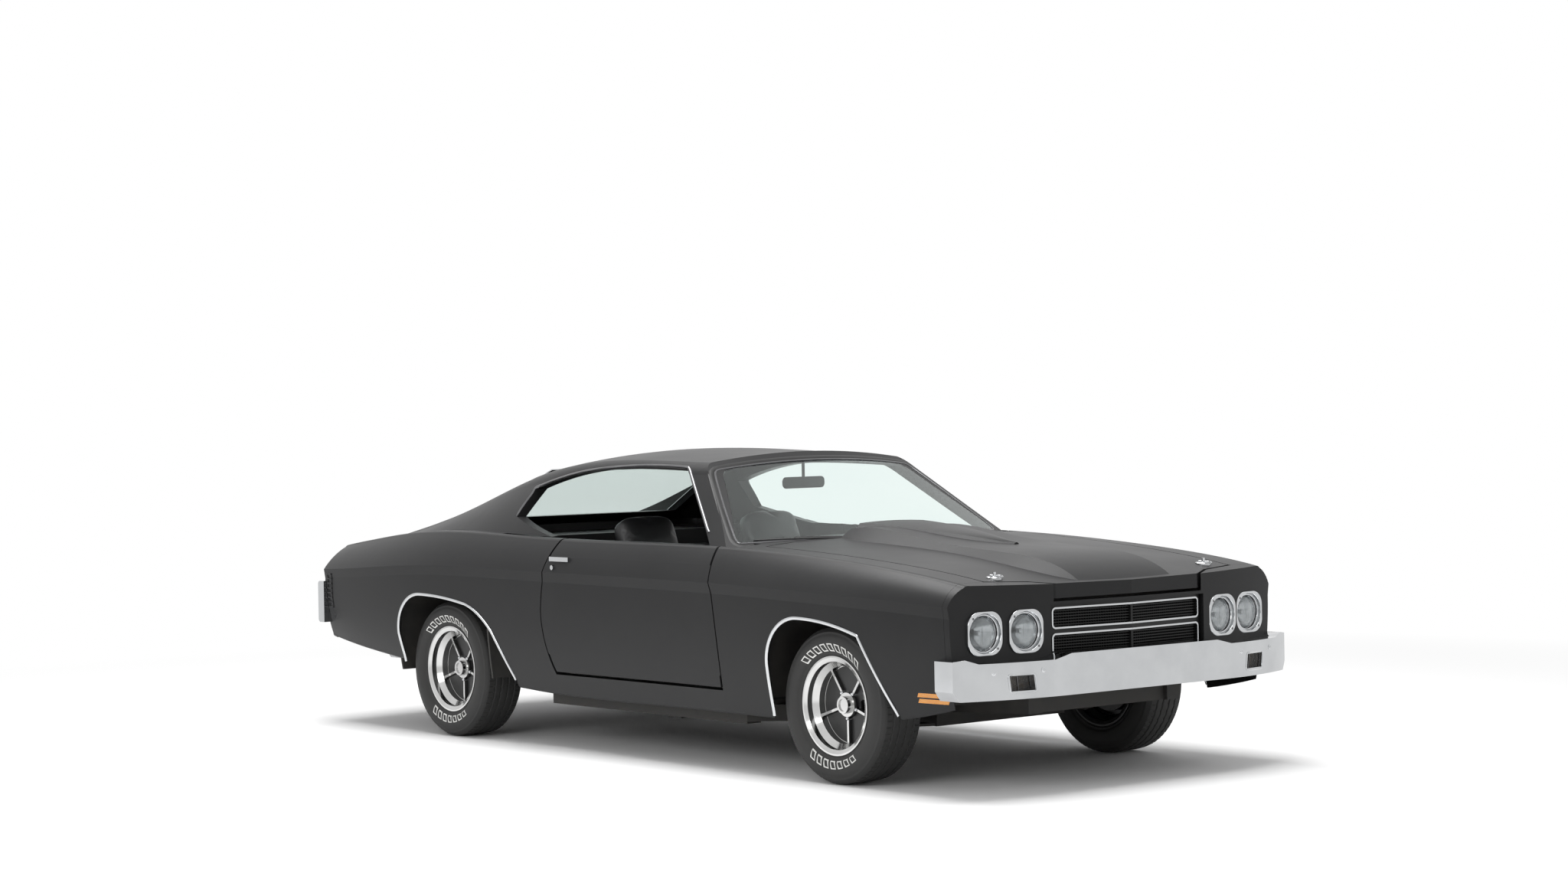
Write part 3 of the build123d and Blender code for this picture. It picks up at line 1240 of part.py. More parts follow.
for name, piece in (("front_seats", front_seats), ("rear_seat", rear_seat), ("dashboard", dashboard),
                    ("steering_wheel", steering_wheel), ("steering_column", steering_column),
                    ("inside_mirror", inside_mirror), ("exhaust", exhaust), ("fuel_tank", fuel_tank),
                    ("radiator_support", radiator_support)):
    write(name, piece)
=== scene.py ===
"""Looks of a two-door hardtop muscle coupe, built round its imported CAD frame.

Row frame: +X forward, +Y to the car's left, +Z up. Shapes are worked out in millimetres and put into the
meshes in metres. Every new piece rides on the body that carries it.
"""

import json
from math import atan2, copysign, cos, pi, radians, sin

import bmesh
import bpy
import numpy as np
from mathutils import Matrix, Vector


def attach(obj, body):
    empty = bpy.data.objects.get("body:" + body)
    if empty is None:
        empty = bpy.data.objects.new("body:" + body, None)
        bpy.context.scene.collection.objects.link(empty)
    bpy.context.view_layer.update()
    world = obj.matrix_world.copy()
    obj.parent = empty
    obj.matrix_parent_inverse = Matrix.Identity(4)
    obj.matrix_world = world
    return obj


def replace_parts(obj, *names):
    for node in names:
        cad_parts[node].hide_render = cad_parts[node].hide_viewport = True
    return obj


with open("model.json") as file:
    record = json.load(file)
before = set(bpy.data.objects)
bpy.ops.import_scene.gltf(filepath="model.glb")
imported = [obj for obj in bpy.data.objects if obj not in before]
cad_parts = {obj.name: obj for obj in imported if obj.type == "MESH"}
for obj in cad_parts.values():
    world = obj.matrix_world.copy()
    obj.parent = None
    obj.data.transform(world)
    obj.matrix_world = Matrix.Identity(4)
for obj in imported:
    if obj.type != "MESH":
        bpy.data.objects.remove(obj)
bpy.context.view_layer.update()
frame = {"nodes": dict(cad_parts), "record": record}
node_slots = {part["node"]: part["material_slot"] for part in frame["record"]["subparts"]}

AXLES = {"front": 1569.5, "rear": -1275.5}
WHEEL_Y = 761
WHEEL_Z = 322
WHEELS = [(end, name, side) for end in AXLES for name, side in (("left", 1), ("right", -1))]

MM = 0.001
FRAME_WIDE, FRAME_HIGH = 2048, 1136
SENSOR_WIDE = 36


def linked(name, data):
    """A new object in the scene that shows the data."""
    thing = bpy.data.objects.new(name, data)
    bpy.context.collection.objects.link(thing)
    return thing


# ------------ camera, floor and light
def look(place, yaw, pitch, roll, focal, centre):
    """A camera at place whose forward line is (cos p cos y, cos p sin y, sin p); focal and centre are in
    pixels of the whole frame."""
    y, p, r = (radians(a) for a in (yaw, pitch, roll))
    ahead = Vector((cos(p) * cos(y), cos(p) * sin(y), sin(p)))
    right = Vector((sin(y), -cos(y), 0))
    up = right.cross(ahead)
    right, up = cos(r) * right + sin(r) * up, cos(r) * up - sin(r) * right
    lens = bpy.data.cameras.new("camera")
    lens.sensor_width = SENSOR_WIDE
    lens.lens = focal * SENSOR_WIDE / FRAME_WIDE
    lens.shift_x = (FRAME_WIDE / 2 - centre[0]) / FRAME_WIDE
    lens.shift_y = (centre[1] - FRAME_HIGH / 2) / FRAME_WIDE
    lens.clip_end = 200
    camera = linked("camera", lens)
    camera.matrix_world = Matrix.Translation(place) @ Matrix((right, up, -ahead)).transposed().to_4x4()
    bpy.context.scene.camera = camera


def lamp(name, place, aim, size, watts):
    """An even rectangle of light at place, turned to face aim."""
    light = bpy.data.lights.new(name, "AREA")
    light.shape = "RECTANGLE"
    light.size, light.size_y = size
    light.energy = watts
    thing = linked(name, light)
    thing.location = place
    thing.rotation_euler = (Vector(aim) - Vector(place)).to_track_quat("-Z", "Y").to_euler()


look((11.188, -8.954, 1.546), 140.68, -0.54, -1.1, 4029, (1029, 569))
bpy.context.scene.view_settings.view_transform = "Standard"


# ------------ shapes as whole arrays
def grid(across, along, wrap_across=True, wrap_along=False):
    """Quads over an across by along grid of points, joined round where a direction wraps."""
    i = np.arange(across if wrap_across else across - 1)[:, None]
    j = np.arange(along if wrap_along else along - 1)[None, :]
    i2, j2 = (i + 1) % across, (j + 1) % along
    return np.stack([i * along + j, i2 * along + j, i2 * along + j2, i * along + j2], -1).reshape(-1, 4)


def joined(shapes):
    """One shape out of several: their points one after another, and their faces counted on."""
    starts = np.cumsum([0] + [len(points) for points, faces in shapes])
    return (np.concatenate([points for points, faces in shapes]),
            np.concatenate([faces + start for (points, faces), start in zip(shapes, starts)]))


def mirrored(shape):
    """The shape's reflection in the car's middle plane, y turned to -y."""
    points, faces = shape
    return points * (1, -1, 1), faces[:, ::-1]


def pair(shape):
    """A shape of the left side together with its reflection."""
    return joined([shape, mirrored(shape)])


def circle(count, radius=1):
    """Points (u, v) evenly round a circle, the first at angle nought."""
    a = np.arange(count) * 2 * pi / count
    return radius * np.stack([np.cos(a), np.sin(a)], 1)


def lengths(path):
    """The distance along a path at each of its points."""
    return np.concatenate([[0], np.cumsum(np.linalg.norm(np.diff(path, axis=0), axis=1))])


def sampled(path, at):
    """The path's points at the given distances along it."""
    t = lengths(path)
    return np.stack([np.interp(at, t, path[:, k]) for k in range(path.shape[1])], 1)


def straight_sides(corners, count):
    """A closed outline through the corners, each side in count even steps."""
    t = np.linspace(0, 1, count, endpoint=False)[:, None]
    return np.concatenate([a + t * (b - a) for a, b in zip(corners, np.roll(corners, -1, 0))])


def smooth_run(points, count):
    """A cubic through the points: Hermite pieces by chord length, with central differences as slopes."""
    points = np.asarray(points, float)
    t = lengths(points)
    slope = np.gradient(points, t, axis=0)
    at = np.linspace(0, t[-1], count)
    k = np.clip(np.searchsorted(t, at, side="right") - 1, 0, len(t) - 2)
    h = (t[k + 1] - t[k])[:, None]
    s = (at - t[k])[:, None] / h
    return ((2 * s ** 3 - 3 * s ** 2 + 1) * points[k] + (s ** 3 - 2 * s ** 2 + s) * h * slope[k]
            + (3 * s ** 2 - 2 * s ** 3) * points[k + 1] + (s ** 3 - s ** 2) * h * slope[k + 1])


def bent_run(rows, step):
    """Even points along lines and arcs: a row of two is reached by a line, a row of four by the circle
    through its last two."""
    runs, here = [np.array([rows[0][:2]], float)], np.array(rows[0][:2], float)
    for row in rows[1:]:
        end = np.array(row[:2], float)
        s = np.linspace(0, 1, 60)[1:, None]
        if len(row) == 2:
            runs.append(here + s * (end - here))
        else:
            via = np.array(row[2:], float)
            m = 2 * np.array([via - here, end - via])
            centre = np.linalg.solve(m, [via @ via - here @ here, end @ end - via @ via])
            a0, a1, a2 = (atan2(*(p - centre)[::-1]) for p in (here, via, end))
            turn = (a2 - a0) % (2 * pi)
            if (a1 - a0) % (2 * pi) > turn:
                turn -= 2 * pi
            a = a0 + s * turn
            runs.append(centre + np.linalg.norm(here - centre) * np.concatenate([np.cos(a), np.sin(a)], 1))
        here = end
    line = np.concatenate(runs)
    whole = lengths(line)[-1]
    return sampled(line, np.linspace(0, whole, max(2, int(whole / step) + 1)))


def unit(v):
    v = np.asarray(v, float)
    return v / np.linalg.norm(v, axis=-1, keepdims=True)


def run_of(x, y, z):
    """Points whose coordinates are arrays or single numbers."""
    return np.stack(np.broadcast_arrays(x, y, z), 1)


def bar(u, v):
    """The section of a flat bar, from its half sizes."""
    return [(-u, -v), (-u, v), (u, v), (u, -v)]


def ridge(half, foot, shoulder, top):
    """The section of a low moulding with its crest in the middle."""
    return [(-half, foot), (-half, shoulder), (0, top), (half, shoulder), (half, foot)]


def carried(path, section, out, closed=False):
    """A closed section (u, v) carried along a path: point + u * side + v * out, side = tangent x out; an open
    end closes on its middle."""
    path, section = np.asarray(path, float), np.asarray(section, float)
    out = np.broadcast_to(out, path.shape)
    tangent = unit(np.roll(path, -1, 0) - np.roll(path, 1, 0) if closed else np.gradient(path, axis=0))
    side = unit(np.cross(tangent, out))
    out = np.cross(side, tangent)
    size = np.ones(len(path))
    if not closed:
        doubled = np.r_[0, np.arange(len(path)), len(path) - 1]
        path, side, out, size = path[doubled], side[doubled], out[doubled], np.r_[0, size, 0]
        middle = section.mean(0)
        section = section - middle
        path = path + middle[0] * side + middle[1] * out
    across = section[:, :1] * side[:, None] + section[:, 1:] * out[:, None]
    points = path[:, None] + size[:, None, None] * across
    return points.reshape(-1, 3), grid(len(path), len(section), closed, True)


def turned(profile, centre, axis, steps, closed=False):
    """A profile (radius, height) turned about an axis: centre + r * (cos a, sin a) across it + h along it."""
    axis = unit(axis)
    one = unit(np.cross(axis, (0, 0, 1) if abs(axis[2]) < 0.9 else (1, 0, 0)))
    ring = circle(steps) @ np.stack([one, np.cross(axis, one)])
    r, h = np.asarray(profile, float).T
    points = centre + r[:, None] * ring[:, None] + h[:, None] * axis
    return points.reshape(-1, 3), grid(steps, len(r), True, closed)


def plate(outline, thick, edge, place, right, up):
    """A flat plate: its outline (u, v) at four depths, drawn in by edge at the first and last."""
    middle = outline.mean(0)
    drawn = 1 - edge / np.abs(outline - middle).max()
    size = np.array([0, drawn, 1, 1, drawn, 0])[:, None, None]
    depth = np.array([0, 0, edge, thick - edge, thick, thick])[:, None, None]
    right, up = unit(right), unit(up)
    flat = middle + size * (outline - middle)
    points = place + flat[..., :1] * right + flat[..., 1:] * up + depth * np.cross(right, up)
    return points.reshape(-1, 3), grid(len(size), len(outline), False, True)


def round_box(half, round_off, count):
    """Outline of a rectangle with rounded corners: four quarter circles joined by its sides."""
    a = np.linspace(0, pi / 2, count)
    a = np.concatenate([a + k * pi / 2 for k in range(4)])
    quarter = np.repeat([(1, 1), (-1, 1), (-1, -1), (1, -1)], count, 0)
    return quarter * (np.asarray(half) - round_off) + round_off * np.stack([np.cos(a), np.sin(a)], 1)


def mesh_points(mesh):
    """A mesh's points in millimetres."""
    points = np.zeros(len(mesh.vertices) * 3, np.float32)
    mesh.vertices.foreach_get("co", points)
    return points.reshape(-1, 3).astype(float) * 1000


def crossed(a, b):
    return a[..., 0] * b[..., 1] - a[..., 1] * b[..., 0]


def skin(node, axis, sign, spots):
    """Each spot as a point on a CAD node's outermost face along an axis, by the barycentric weights of the
    node's triangles; a spot that it misses takes its neighbours' reach."""
    mesh = frame["nodes"][node].data
    mesh.calc_loop_triangles()
    corners = np.zeros(len(mesh.loop_triangles) * 3, np.int32)
    mesh.loop_triangles.foreach_get("vertices", corners)
    tri = mesh_points(mesh)[corners].reshape(-1, 3, 3)
    flat = np.delete(tri, axis, 2)
    tri = tri[np.abs(crossed(flat[:, 1] - flat[:, 0], flat[:, 2] - flat[:, 0])) > 1e-6]
    flat, height = np.delete(tri, axis, 2), tri[..., axis]
    one, two = flat[:, 1] - flat[:, 0], flat[:, 2] - flat[:, 0]
    spots = np.asarray(spots, float)
    away = spots[:, None] - flat[:, 0]
    area = crossed(one, two)
    b, c = crossed(away, two) / area, crossed(one, away) / area
    level = height[:, 0] + b * (height[:, 1] - height[:, 0]) + c * (height[:, 2] - height[:, 0])
    inside = (b >= -1e-4) & (c >= -1e-4) & (b + c <= 1.0001)
    best = np.where(inside, sign * level, -np.inf).max(1)
    found = np.isfinite(best)
    order = np.arange(len(spots))
    return np.insert(spots, axis, sign * np.interp(order, order[found], best[found]), 1)


def fitted(mesh, gap, ending=lambda work: None):
    """Merges a mesh's doubles, then does to it what ending does."""
    work = bmesh.new()
    work.from_mesh(mesh)
    bmesh.ops.remove_doubles(work, verts=work.verts, dist=gap)
    ending(work)
    work.to_mesh(mesh)
    work.free()


def outwards(work):
    """Drops faces without area and turns the rest outwards."""
    bmesh.ops.dissolve_degenerate(work, edges=work.edges, dist=1e-7)
    bmesh.ops.recalc_face_normals(work, faces=work.faces)


def meshed(name, shape, gap=1e-6):
    """A mesh of the shape, in metres."""
    points, faces = shape
    mesh = bpy.data.meshes.new(name)
    mesh.from_pydata((points * MM).tolist(), [], faces.tolist())
    fitted(mesh, gap, outwards)
    return mesh


def dressed(name, mesh, look_of, body, angle):
    """An object for the mesh in its finish, riding on its body, with corners past the angle kept crisp."""
    mesh.shade_smooth()
    mesh.set_sharp_from_angle(angle=radians(angle))
    mesh.materials.clear()
    mesh.materials.append(look_of)
    thing = linked(name, mesh)
    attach(thing, body)
    return thing


def piece(name, shape, look_of, body="chassis", angle=32):
    """A new piece of the car out of a shape."""
    return dressed(name, meshed(name, shape), look_of, body, angle)


# ------------ finishes
def socket_group(name, inputs, outputs):
    """A shader node group with named inputs (name, kind, value) and outputs (name, kind)."""
    group = bpy.data.node_groups.new(name, "ShaderNodeTree")
    for label, kind, value in inputs:
        socket = group.interface.new_socket(name=label, in_out="INPUT", socket_type="NodeSocket" + kind)
        socket.default_value = value
    for label, kind in outputs:
        group.interface.new_socket(name=label, in_out="OUTPUT", socket_type="NodeSocket" + kind)
    return group, group.nodes.new("NodeGroupInput"), group.nodes.new("NodeGroupOutput")


def feed(tree, socket, source):
    """Gives an input its value: a number or a colour of its own, or a link from another node's output."""
    if isinstance(source, (int, float, tuple)):
        socket.default_value = source
    else:
        tree.links.new(source, socket)


def add_node(tree, kind, feeds=(), **values):
    """A shader node: its values set by property or input name, its inputs fed with (input, source)."""
    node = tree.nodes.new("ShaderNode" + kind)
    for key, value in values.items():
        if key in node.bl_rna.properties and key not in node.inputs:
            setattr(node, key, value)
        else:
            node.inputs[key.replace("_", " ")].default_value = value
    for key, source in feeds:
        feed(tree, node.inputs[key], source)
    return node


def blank_tree(owner):
    """The emptied shader tree of a material or a world."""
    owner.use_nodes = True
    owner.node_tree.nodes.clear()
    return owner.node_tree


def mix_colour(tree, factor, one, two):
    """The colour that goes from one to two with the factor."""
    return add_node(tree, "Mix", [(0, factor), (6, one), (7, two)], data_type="RGBA").outputs[2]


def spread(tree, source, low, high):
    """The source from 0 to 1 laid over low to high."""
    feeds = [("Value", source), ("To Min", low), ("To Max", high)]
    return add_node(tree, "MapRange", feeds).outputs["Result"]


def noise(tree, where, scale, detail=3):
    feeds = [("Vector", where), ("Scale", scale), ("Detail", detail)]
    return add_node(tree, "TexNoise", feeds).outputs["Fac"]


def maths(tree, operation, one, two, **values):
    return add_node(tree, "Math", [(0, one), (1, two)], operation=operation, **values).outputs[0]


def in_place(tree):
    """Where a point lies in the object's own coordinates."""
    return add_node(tree, "TexCoord").outputs["Object"]


def length(tree, vector):
    return add_node(tree, "VectorMath", [(0, vector)], operation="LENGTH").outputs["Value"]


def make_worn():
    """Worn surface: broad noise mixes two tones and spreads the gloss, and a fine grain bumps the normal."""
    group, source, end = socket_group("worn_surface", [
        ("Tone", "Color", (0.5, 0.5, 0.5, 1)),
        ("Second Tone", "Color", (0.4, 0.4, 0.4, 1)),
        ("Patch Scale", "Float", 4), ("Grain Scale", "Float", 400),
        ("Gloss Low", "Float", 0.2), ("Gloss High", "Float", 0.4),
        ("Grain", "Float", 0.1)],
        [("Colour", "Color"), ("Roughness", "Float"), ("Normal", "Vector")])
    given = source.outputs
    where = in_place(group)
    patches = noise(group, where, given["Patch Scale"], 4)
    grain = noise(group, where, given["Grain Scale"], 2)
    colour = mix_colour(group, spread(group, patches, -0.4, 1.4), given["Tone"], given["Second Tone"])
    group.links.new(colour, end.inputs["Colour"])
    group.links.new(spread(group, patches, given["Gloss Low"], given["Gloss High"]), end.inputs["Roughness"])
    feeds = [("Height", grain), ("Strength", given["Grain"]), ("Distance", 0.0006)]
    bump = add_node(group, "Bump", feeds)
    group.links.new(bump.outputs["Normal"], end.inputs["Normal"])
    return group


worn = make_worn()


def finish(name, tone, second, gloss, patch, grain, **shader):
    """One finish: the worn surface with its own values, and a Principled shader with its plain values. A tone
    may be one grey."""
    material = bpy.data.materials.new(name)
    tree = blank_tree(material)
    tone, second = (t + (1,) if isinstance(t, tuple) else (t, t, t, 1) for t in (tone, second))
    labels = ("Tone", "Second Tone", "Gloss Low", "Gloss High", "Patch Scale", "Grain Scale", "Grain")
    feeds = zip(labels, (tone, second, *gloss, patch, *grain))
    surface = add_node(tree, "Group", feeds, node_tree=worn, name="surface").outputs
    feeds = [("Base Color", surface["Colour"]), ("Roughness", surface["Roughness"]),
             ("Normal", surface["Normal"])]
    shade = add_node(tree, "BsdfPrincipled", feeds, name="shade", **shader)
    add_node(tree, "OutputMaterial", [("Surface", shade.outputs[0])])
    return material


satin_black = finish("satin_black_paint", (0.010, 0.010, 0.0105), (0.014, 0.014, 0.0145), (0.34, 0.44), 3,
                     (900, 0.05), Specular_IOR_Level=0.2)
under_coat = finish("underbody_coating", 0.012, (0.035, 0.032, 0.028), (0.6, 0.85), 9, (220, 0.5))
bright_plate = finish("bright_plate", (0.58, 0.59, 0.6), (0.5, 0.51, 0.52), (0.05, 0.12), 7, (700, 0.02),
                      Metallic=1)
dark_trim = finish("dark_bright_trim", (0.2, 0.2, 0.205), (0.12, 0.12, 0.125), (0.12, 0.22), 12, (600, 0.04),
                   Metallic=1)
dull_steel = finish("plated_steel", (0.42, 0.42, 0.43), (0.3, 0.3, 0.31), (0.25, 0.45), 20, (500, 0.1),
                    Metallic=1)
black_enamel = finish("black_enamel", 0.007, 0.011, (0.3, 0.42), 14, (600, 0.08), Specular_IOR_Level=0.25)
moulded_black = finish("moulded_black", (0.013, 0.013, 0.014), 0.02, (0.45, 0.6), 12, (260, 0.35))
cast_iron = finish("cast_iron", 0.07, (0.13, 0.12, 0.11), (0.5, 0.8), 8, (160, 0.6), Metallic=0.4)
black_vinyl = finish("black_vinyl", (0.010, 0.010, 0.011), (0.016, 0.016, 0.017), (0.34, 0.5), 9, (330, 0.5),
                     Coat_Weight=0.1, Coat_Roughness=0.4)
tread_rubber = finish("tyre_rubber", 0.012, (0.024, 0.0235, 0.0225), (0.55, 0.8), 10, (350, 0.3))
white_rubber = finish("white_rubber", (0.78, 0.78, 0.76), (0.6, 0.6, 0.58), (0.5, 0.7), 30, (400, 0.2))
blank_white = finish("blank_plate_enamel", (0.72, 0.72, 0.7), (0.66, 0.66, 0.64), (0.3, 0.4), 12, (500, 0.06))


def make_ribs():
    """Ribs as a height: an even zigzag along one direction, count to the metre."""
    group, source, end = socket_group("ribs", [
        ("Along", "Vector", (0, 1, 0)), ("Per Metre", "Float", 100)],
        [("Height", "Float")])
    feeds = [(0, in_place(group)), (1, source.outputs["Along"])]
    dot = add_node(group, "VectorMath", feeds, operation="DOT_PRODUCT").outputs["Value"]
    turns = maths(group, "MULTIPLY", dot, source.outputs["Per Metre"])
    group.links.new(maths(group, "PINGPONG", turns, 0.5), end.inputs["Height"])
    return group


ribs = make_ribs()


def ribbed(material, along, per_metre, depth):
    """Adds ribs to a finish: their height bumps the worn surface's own normal."""
    tree = material.node_tree
    rib = add_node(tree, "Group", [("Along", along), ("Per Metre", per_metre)], node_tree=ribs)
    feeds = [("Height", rib.outputs["Height"]), ("Normal", tree.nodes["surface"].outputs["Normal"])]
    bump = add_node(tree, "Bump", feeds, Distance=depth)
    tree.links.new(bump.outputs["Normal"], tree.nodes["shade"].inputs["Normal"])
    return material


fluted_glass = ribbed(finish("fluted_lamp_glass", (0.8, 0.83, 0.84), (0.62, 0.66, 0.68), (0.08, 0.16), 30,
                             (500, 0.05), Metallic=0.85, Coat_Weight=1, Coat_Roughness=0.03),
                      (0, 1, 0), 110, 0.003)
amber_lens = ribbed(finish("amber_lens", (0.62, 0.25, 0.008), (0.5, 0.17, 0.006), (0.12, 0.2), 20,
                           (400, 0.05), Coat_Weight=0.6, Coat_Roughness=0.05), (1, 0, 0), 120, 0.0015)
smoked_lens = ribbed(finish("smoked_lens", (0.02, 0.017, 0.013), (0.05, 0.035, 0.02), (0.14, 0.24), 26,
                            (400, 0.05), Coat_Weight=0.6, Coat_Roughness=0.06), (0, 0, 1), 170, 0.0015)
red_lens = ribbed(finish("red_lens", (0.42, 0.012, 0.01), (0.3, 0.008, 0.008), (0.12, 0.2), 20, (400, 0.05),
                         Coat_Weight=0.6, Coat_Roughness=0.05), (0, 1, 0), 90, 0.0015)
clear_glass = finish("lamp_glass", (0.93, 0.95, 0.95), (0.9, 0.92, 0.92), (0, 0.03), 20, (60, 0.01),
                     Transmission_Weight=1, IOR=1.45)
mirror_bowl = finish("silvered_bowl", (0.4, 0.41, 0.42), (0.26, 0.27, 0.28), (0.08, 0.2), 40, (300, 0.05),
                     Metallic=1)
window_glass = finish("tinted_glass", (0.83, 0.93, 0.9), (0.8, 0.91, 0.88), (0, 0.012), 2, (30, 0.004),
                      Transmission_Weight=1, IOR=1.45, Specular_IOR_Level=0.15)


def wheel_finish(name, axle_x):
    """Wheel in two tones by place: bright rim, barrel, spoke ridges and cap, black on the spokes and the drum
    behind."""
    material = finish(name, 0.6, (0.5, 0.5, 0.49), (0.06, 0.16), 12, (600, 0.02))
    tree = material.node_tree
    surface, shade = tree.nodes["surface"].outputs, tree.nodes["shade"].inputs
    feeds = [("Vector", in_place(tree)), ("Location", (-axle_x * MM, 0, -WHEEL_Z * MM))]
    hub = add_node(tree, "Mapping", feeds)
    parts = add_node(tree, "SeparateXYZ", [(0, hub.outputs[0])]).outputs
    flat = add_node(tree, "CombineXYZ", [("X", parts["X"]), ("Z", parts["Z"])]).outputs[0]
    radius = length(tree, flat)
    out = maths(tree, "ABSOLUTE", parts["Y"], 0)
    rim = maths(tree, "GREATER_THAN", radius, 0.1585)
    ridge = maths(tree, "GREATER_THAN", out, (WHEEL_Y + 23) * MM)
    inner = maths(tree, "GREATER_THAN", out, (WHEEL_Y - 38) * MM)
    bright = maths(tree, "MAXIMUM", maths(tree, "MULTIPLY", rim, inner), ridge)
    colour = mix_colour(tree, bright, (0.012, 0.012, 0.012, 1), surface["Colour"])
    tree.links.new(colour, shade["Base Color"])
    tree.links.new(spread(tree, bright, 0, 1), shade["Metallic"])
    tree.links.new(spread(tree, bright, 0.35, surface["Roughness"]), shade["Roughness"])
    return material


wheel_looks = {end: wheel_finish(f"wheel_{end}", x) for end, x in AXLES.items()}

SLOT_LOOKS = {
    "paint": satin_black, "underbody": under_coat, "chrome": bright_plate, "clear_lens": fluted_glass,
    "amber_lens": amber_lens, "red_lens": red_lens, "glass": window_glass, "vinyl": black_vinyl,
    "black_plastic": moulded_black, "engine_iron": cast_iron, "rim": bright_plate, "tyre": tread_rubber,
}
NODE_LOOKS = {"turn_lamps": smoked_lens, "grille": black_enamel, "exhaust": dull_steel,
              "fuel_tank": dull_steel}
for node, thing in frame["nodes"].items():
    look_of = NODE_LOOKS.get(node, SLOT_LOOKS[node_slots[node]])
    if node.startswith("wheel_"):
        look_of = wheel_looks[node.split("_")[1]]
    thing.data.materials.clear()
    thing.data.materials.append(look_of)


# ------------ floor and soft light
def plainly_seen(tree):
    """One for rays from the camera, off a glossy surface or through a clear one; nought for the rest."""
    rays = add_node(tree, "LightPath").outputs
    seen = maths(tree, "ADD", rays["Is Camera Ray"], rays["Is Glossy Ray"])
    return maths(tree, "ADD", seen, rays["Is Transmission Ray"], use_clamp=True)


def make_floor():
    """A pale round floor: a disc whose far part shines as plain as the background, so that no edge shows."""
    points, faces = turned([(0, 0), (9000, 0), (60000, 0)], (0, 0, -1), (0, 0, 1), 96)
    mesh = bpy.data.meshes.new("floor")
    mesh.from_pydata((points * MM).tolist(), [], faces.tolist())
    material = bpy.data.materials.new("floor")
    tree = blank_tree(material)
    where = in_place(tree)
    fade = add_node(tree, "MapRange", [("Value", length(tree, where))], From_Min=3, From_Max=7)
    speck = spread(tree, noise(tree, where, 60), 0.86, 0.9)
    shade = mix_colour(tree, speck, (0.8, 0.8, 0.8, 1), (0.96, 0.96, 0.96, 1))
    plain = add_node(tree, "BsdfDiffuse", [("Color", shade)]).outputs[0]
    glow = add_node(tree, "Emission").outputs[0]
    plainly = maths(tree, "MULTIPLY", plainly_seen(tree), fade.outputs["Result"])
    blend = add_node(tree, "MixShader", [(0, plainly), (1, plain), (2, glow)])
    add_node(tree, "OutputMaterial", [("Surface", blend.outputs[0])])
    mesh.materials.append(material)
    linked("floor", mesh)


def make_world():
    """Plain white to the camera, to glossy and to clear surfaces; an even soft light for the rest."""
    world = bpy.data.worlds.new("studio")
    tree = blank_tree(world)
    even, white = (add_node(tree, "Background", Color=(1, 1, 1, 1), Strength=strength).outputs[0]
                   for strength in (0.6, 1))
    blend = add_node(tree, "MixShader", [(0, plainly_seen(tree)), (1, even), (2, white)])
    add_node(tree, "OutputWorld", [("Surface", blend.outputs[0])])
    bpy.context.scene.world = world


make_floor()
make_world()
lamp("roof_light", (0, -0.6, 6.5), (0, -0.6, 0), (8, 3.4), 560)
lamp("side_light", (3, -7.5, 3.2), (0.3, 0, 0.6), (5, 2.5), 130)


# ------------ tyres, wheel nuts
TYRE_LINE = [(189.5, 84), (197, 90), (208, 94.5), (212, 98.5), (217, 99), (230, 108),
             (250, 113.6), (266, 114.4), (284, 111), (298, 105.5), (302, 105.2), (308, 99.5),
             (314.5, 92), (317.5, 86)]


def sidewall(radius):
    """How far out the sidewall stands at a radius."""
    return np.interp(radius, *smooth_run(TYRE_LINE, 200).T)


def tyre_shape(hub, side):
    """Carcass: the sidewall line and its mirror turned about the axle. Tread over it: a band whose radius
    drops in zigzag grooves round it and in short slots across its shoulders."""
    line = smooth_run(TYRE_LINE, 44)
    profile = np.concatenate([line, [(316.5, 40), (316.5, -40)], line[::-1] * (1, -1),
                              [(189.3, -84), (189.3, 84)]])
    carcass = turned(profile, hub, (0, side, 0), 144, closed=True)
    around, across = 432, 57
    turns = np.arange(around) / around
    w = np.concatenate([[-88], np.linspace(-87, 87, across - 2), [88]])
    crown = 321.7 - 3.4 * (np.abs(w) / 87) ** 4
    zigzag = 3.2 * (2 * np.abs(turns * 54 % 1 - 0.5) - 0.5)[:, None]
    groove = sum(np.clip(1 - np.abs(w - centre - zigzag) / 3.6, 0, 1) for centre in (-54, -19, 19, 54))
    slot = np.clip(1 - np.abs(turns * 72 % 1 - 0.5)[:, None] * 7, 0, 1) * (np.abs(w) > 64)
    r = crown - 5.2 * np.minimum(1.6 * groove, 1) - 3.2 * np.minimum(1.5 * slot, 1)
    r[:, 0] = r[:, -1] = 314
    r = np.concatenate([r, np.full((around, 2), 312)], 1)
    w = np.concatenate([w, [88, -88]])
    ring = circle(around) @ [(1, 0, 0), (0, 0, 1)]
    points = hub + r[..., None] * ring[:, None] + w[:, None] * (0, side, 0)
    return joined([carcass, (points.reshape(-1, 3), grid(around, across + 2, True, True))])


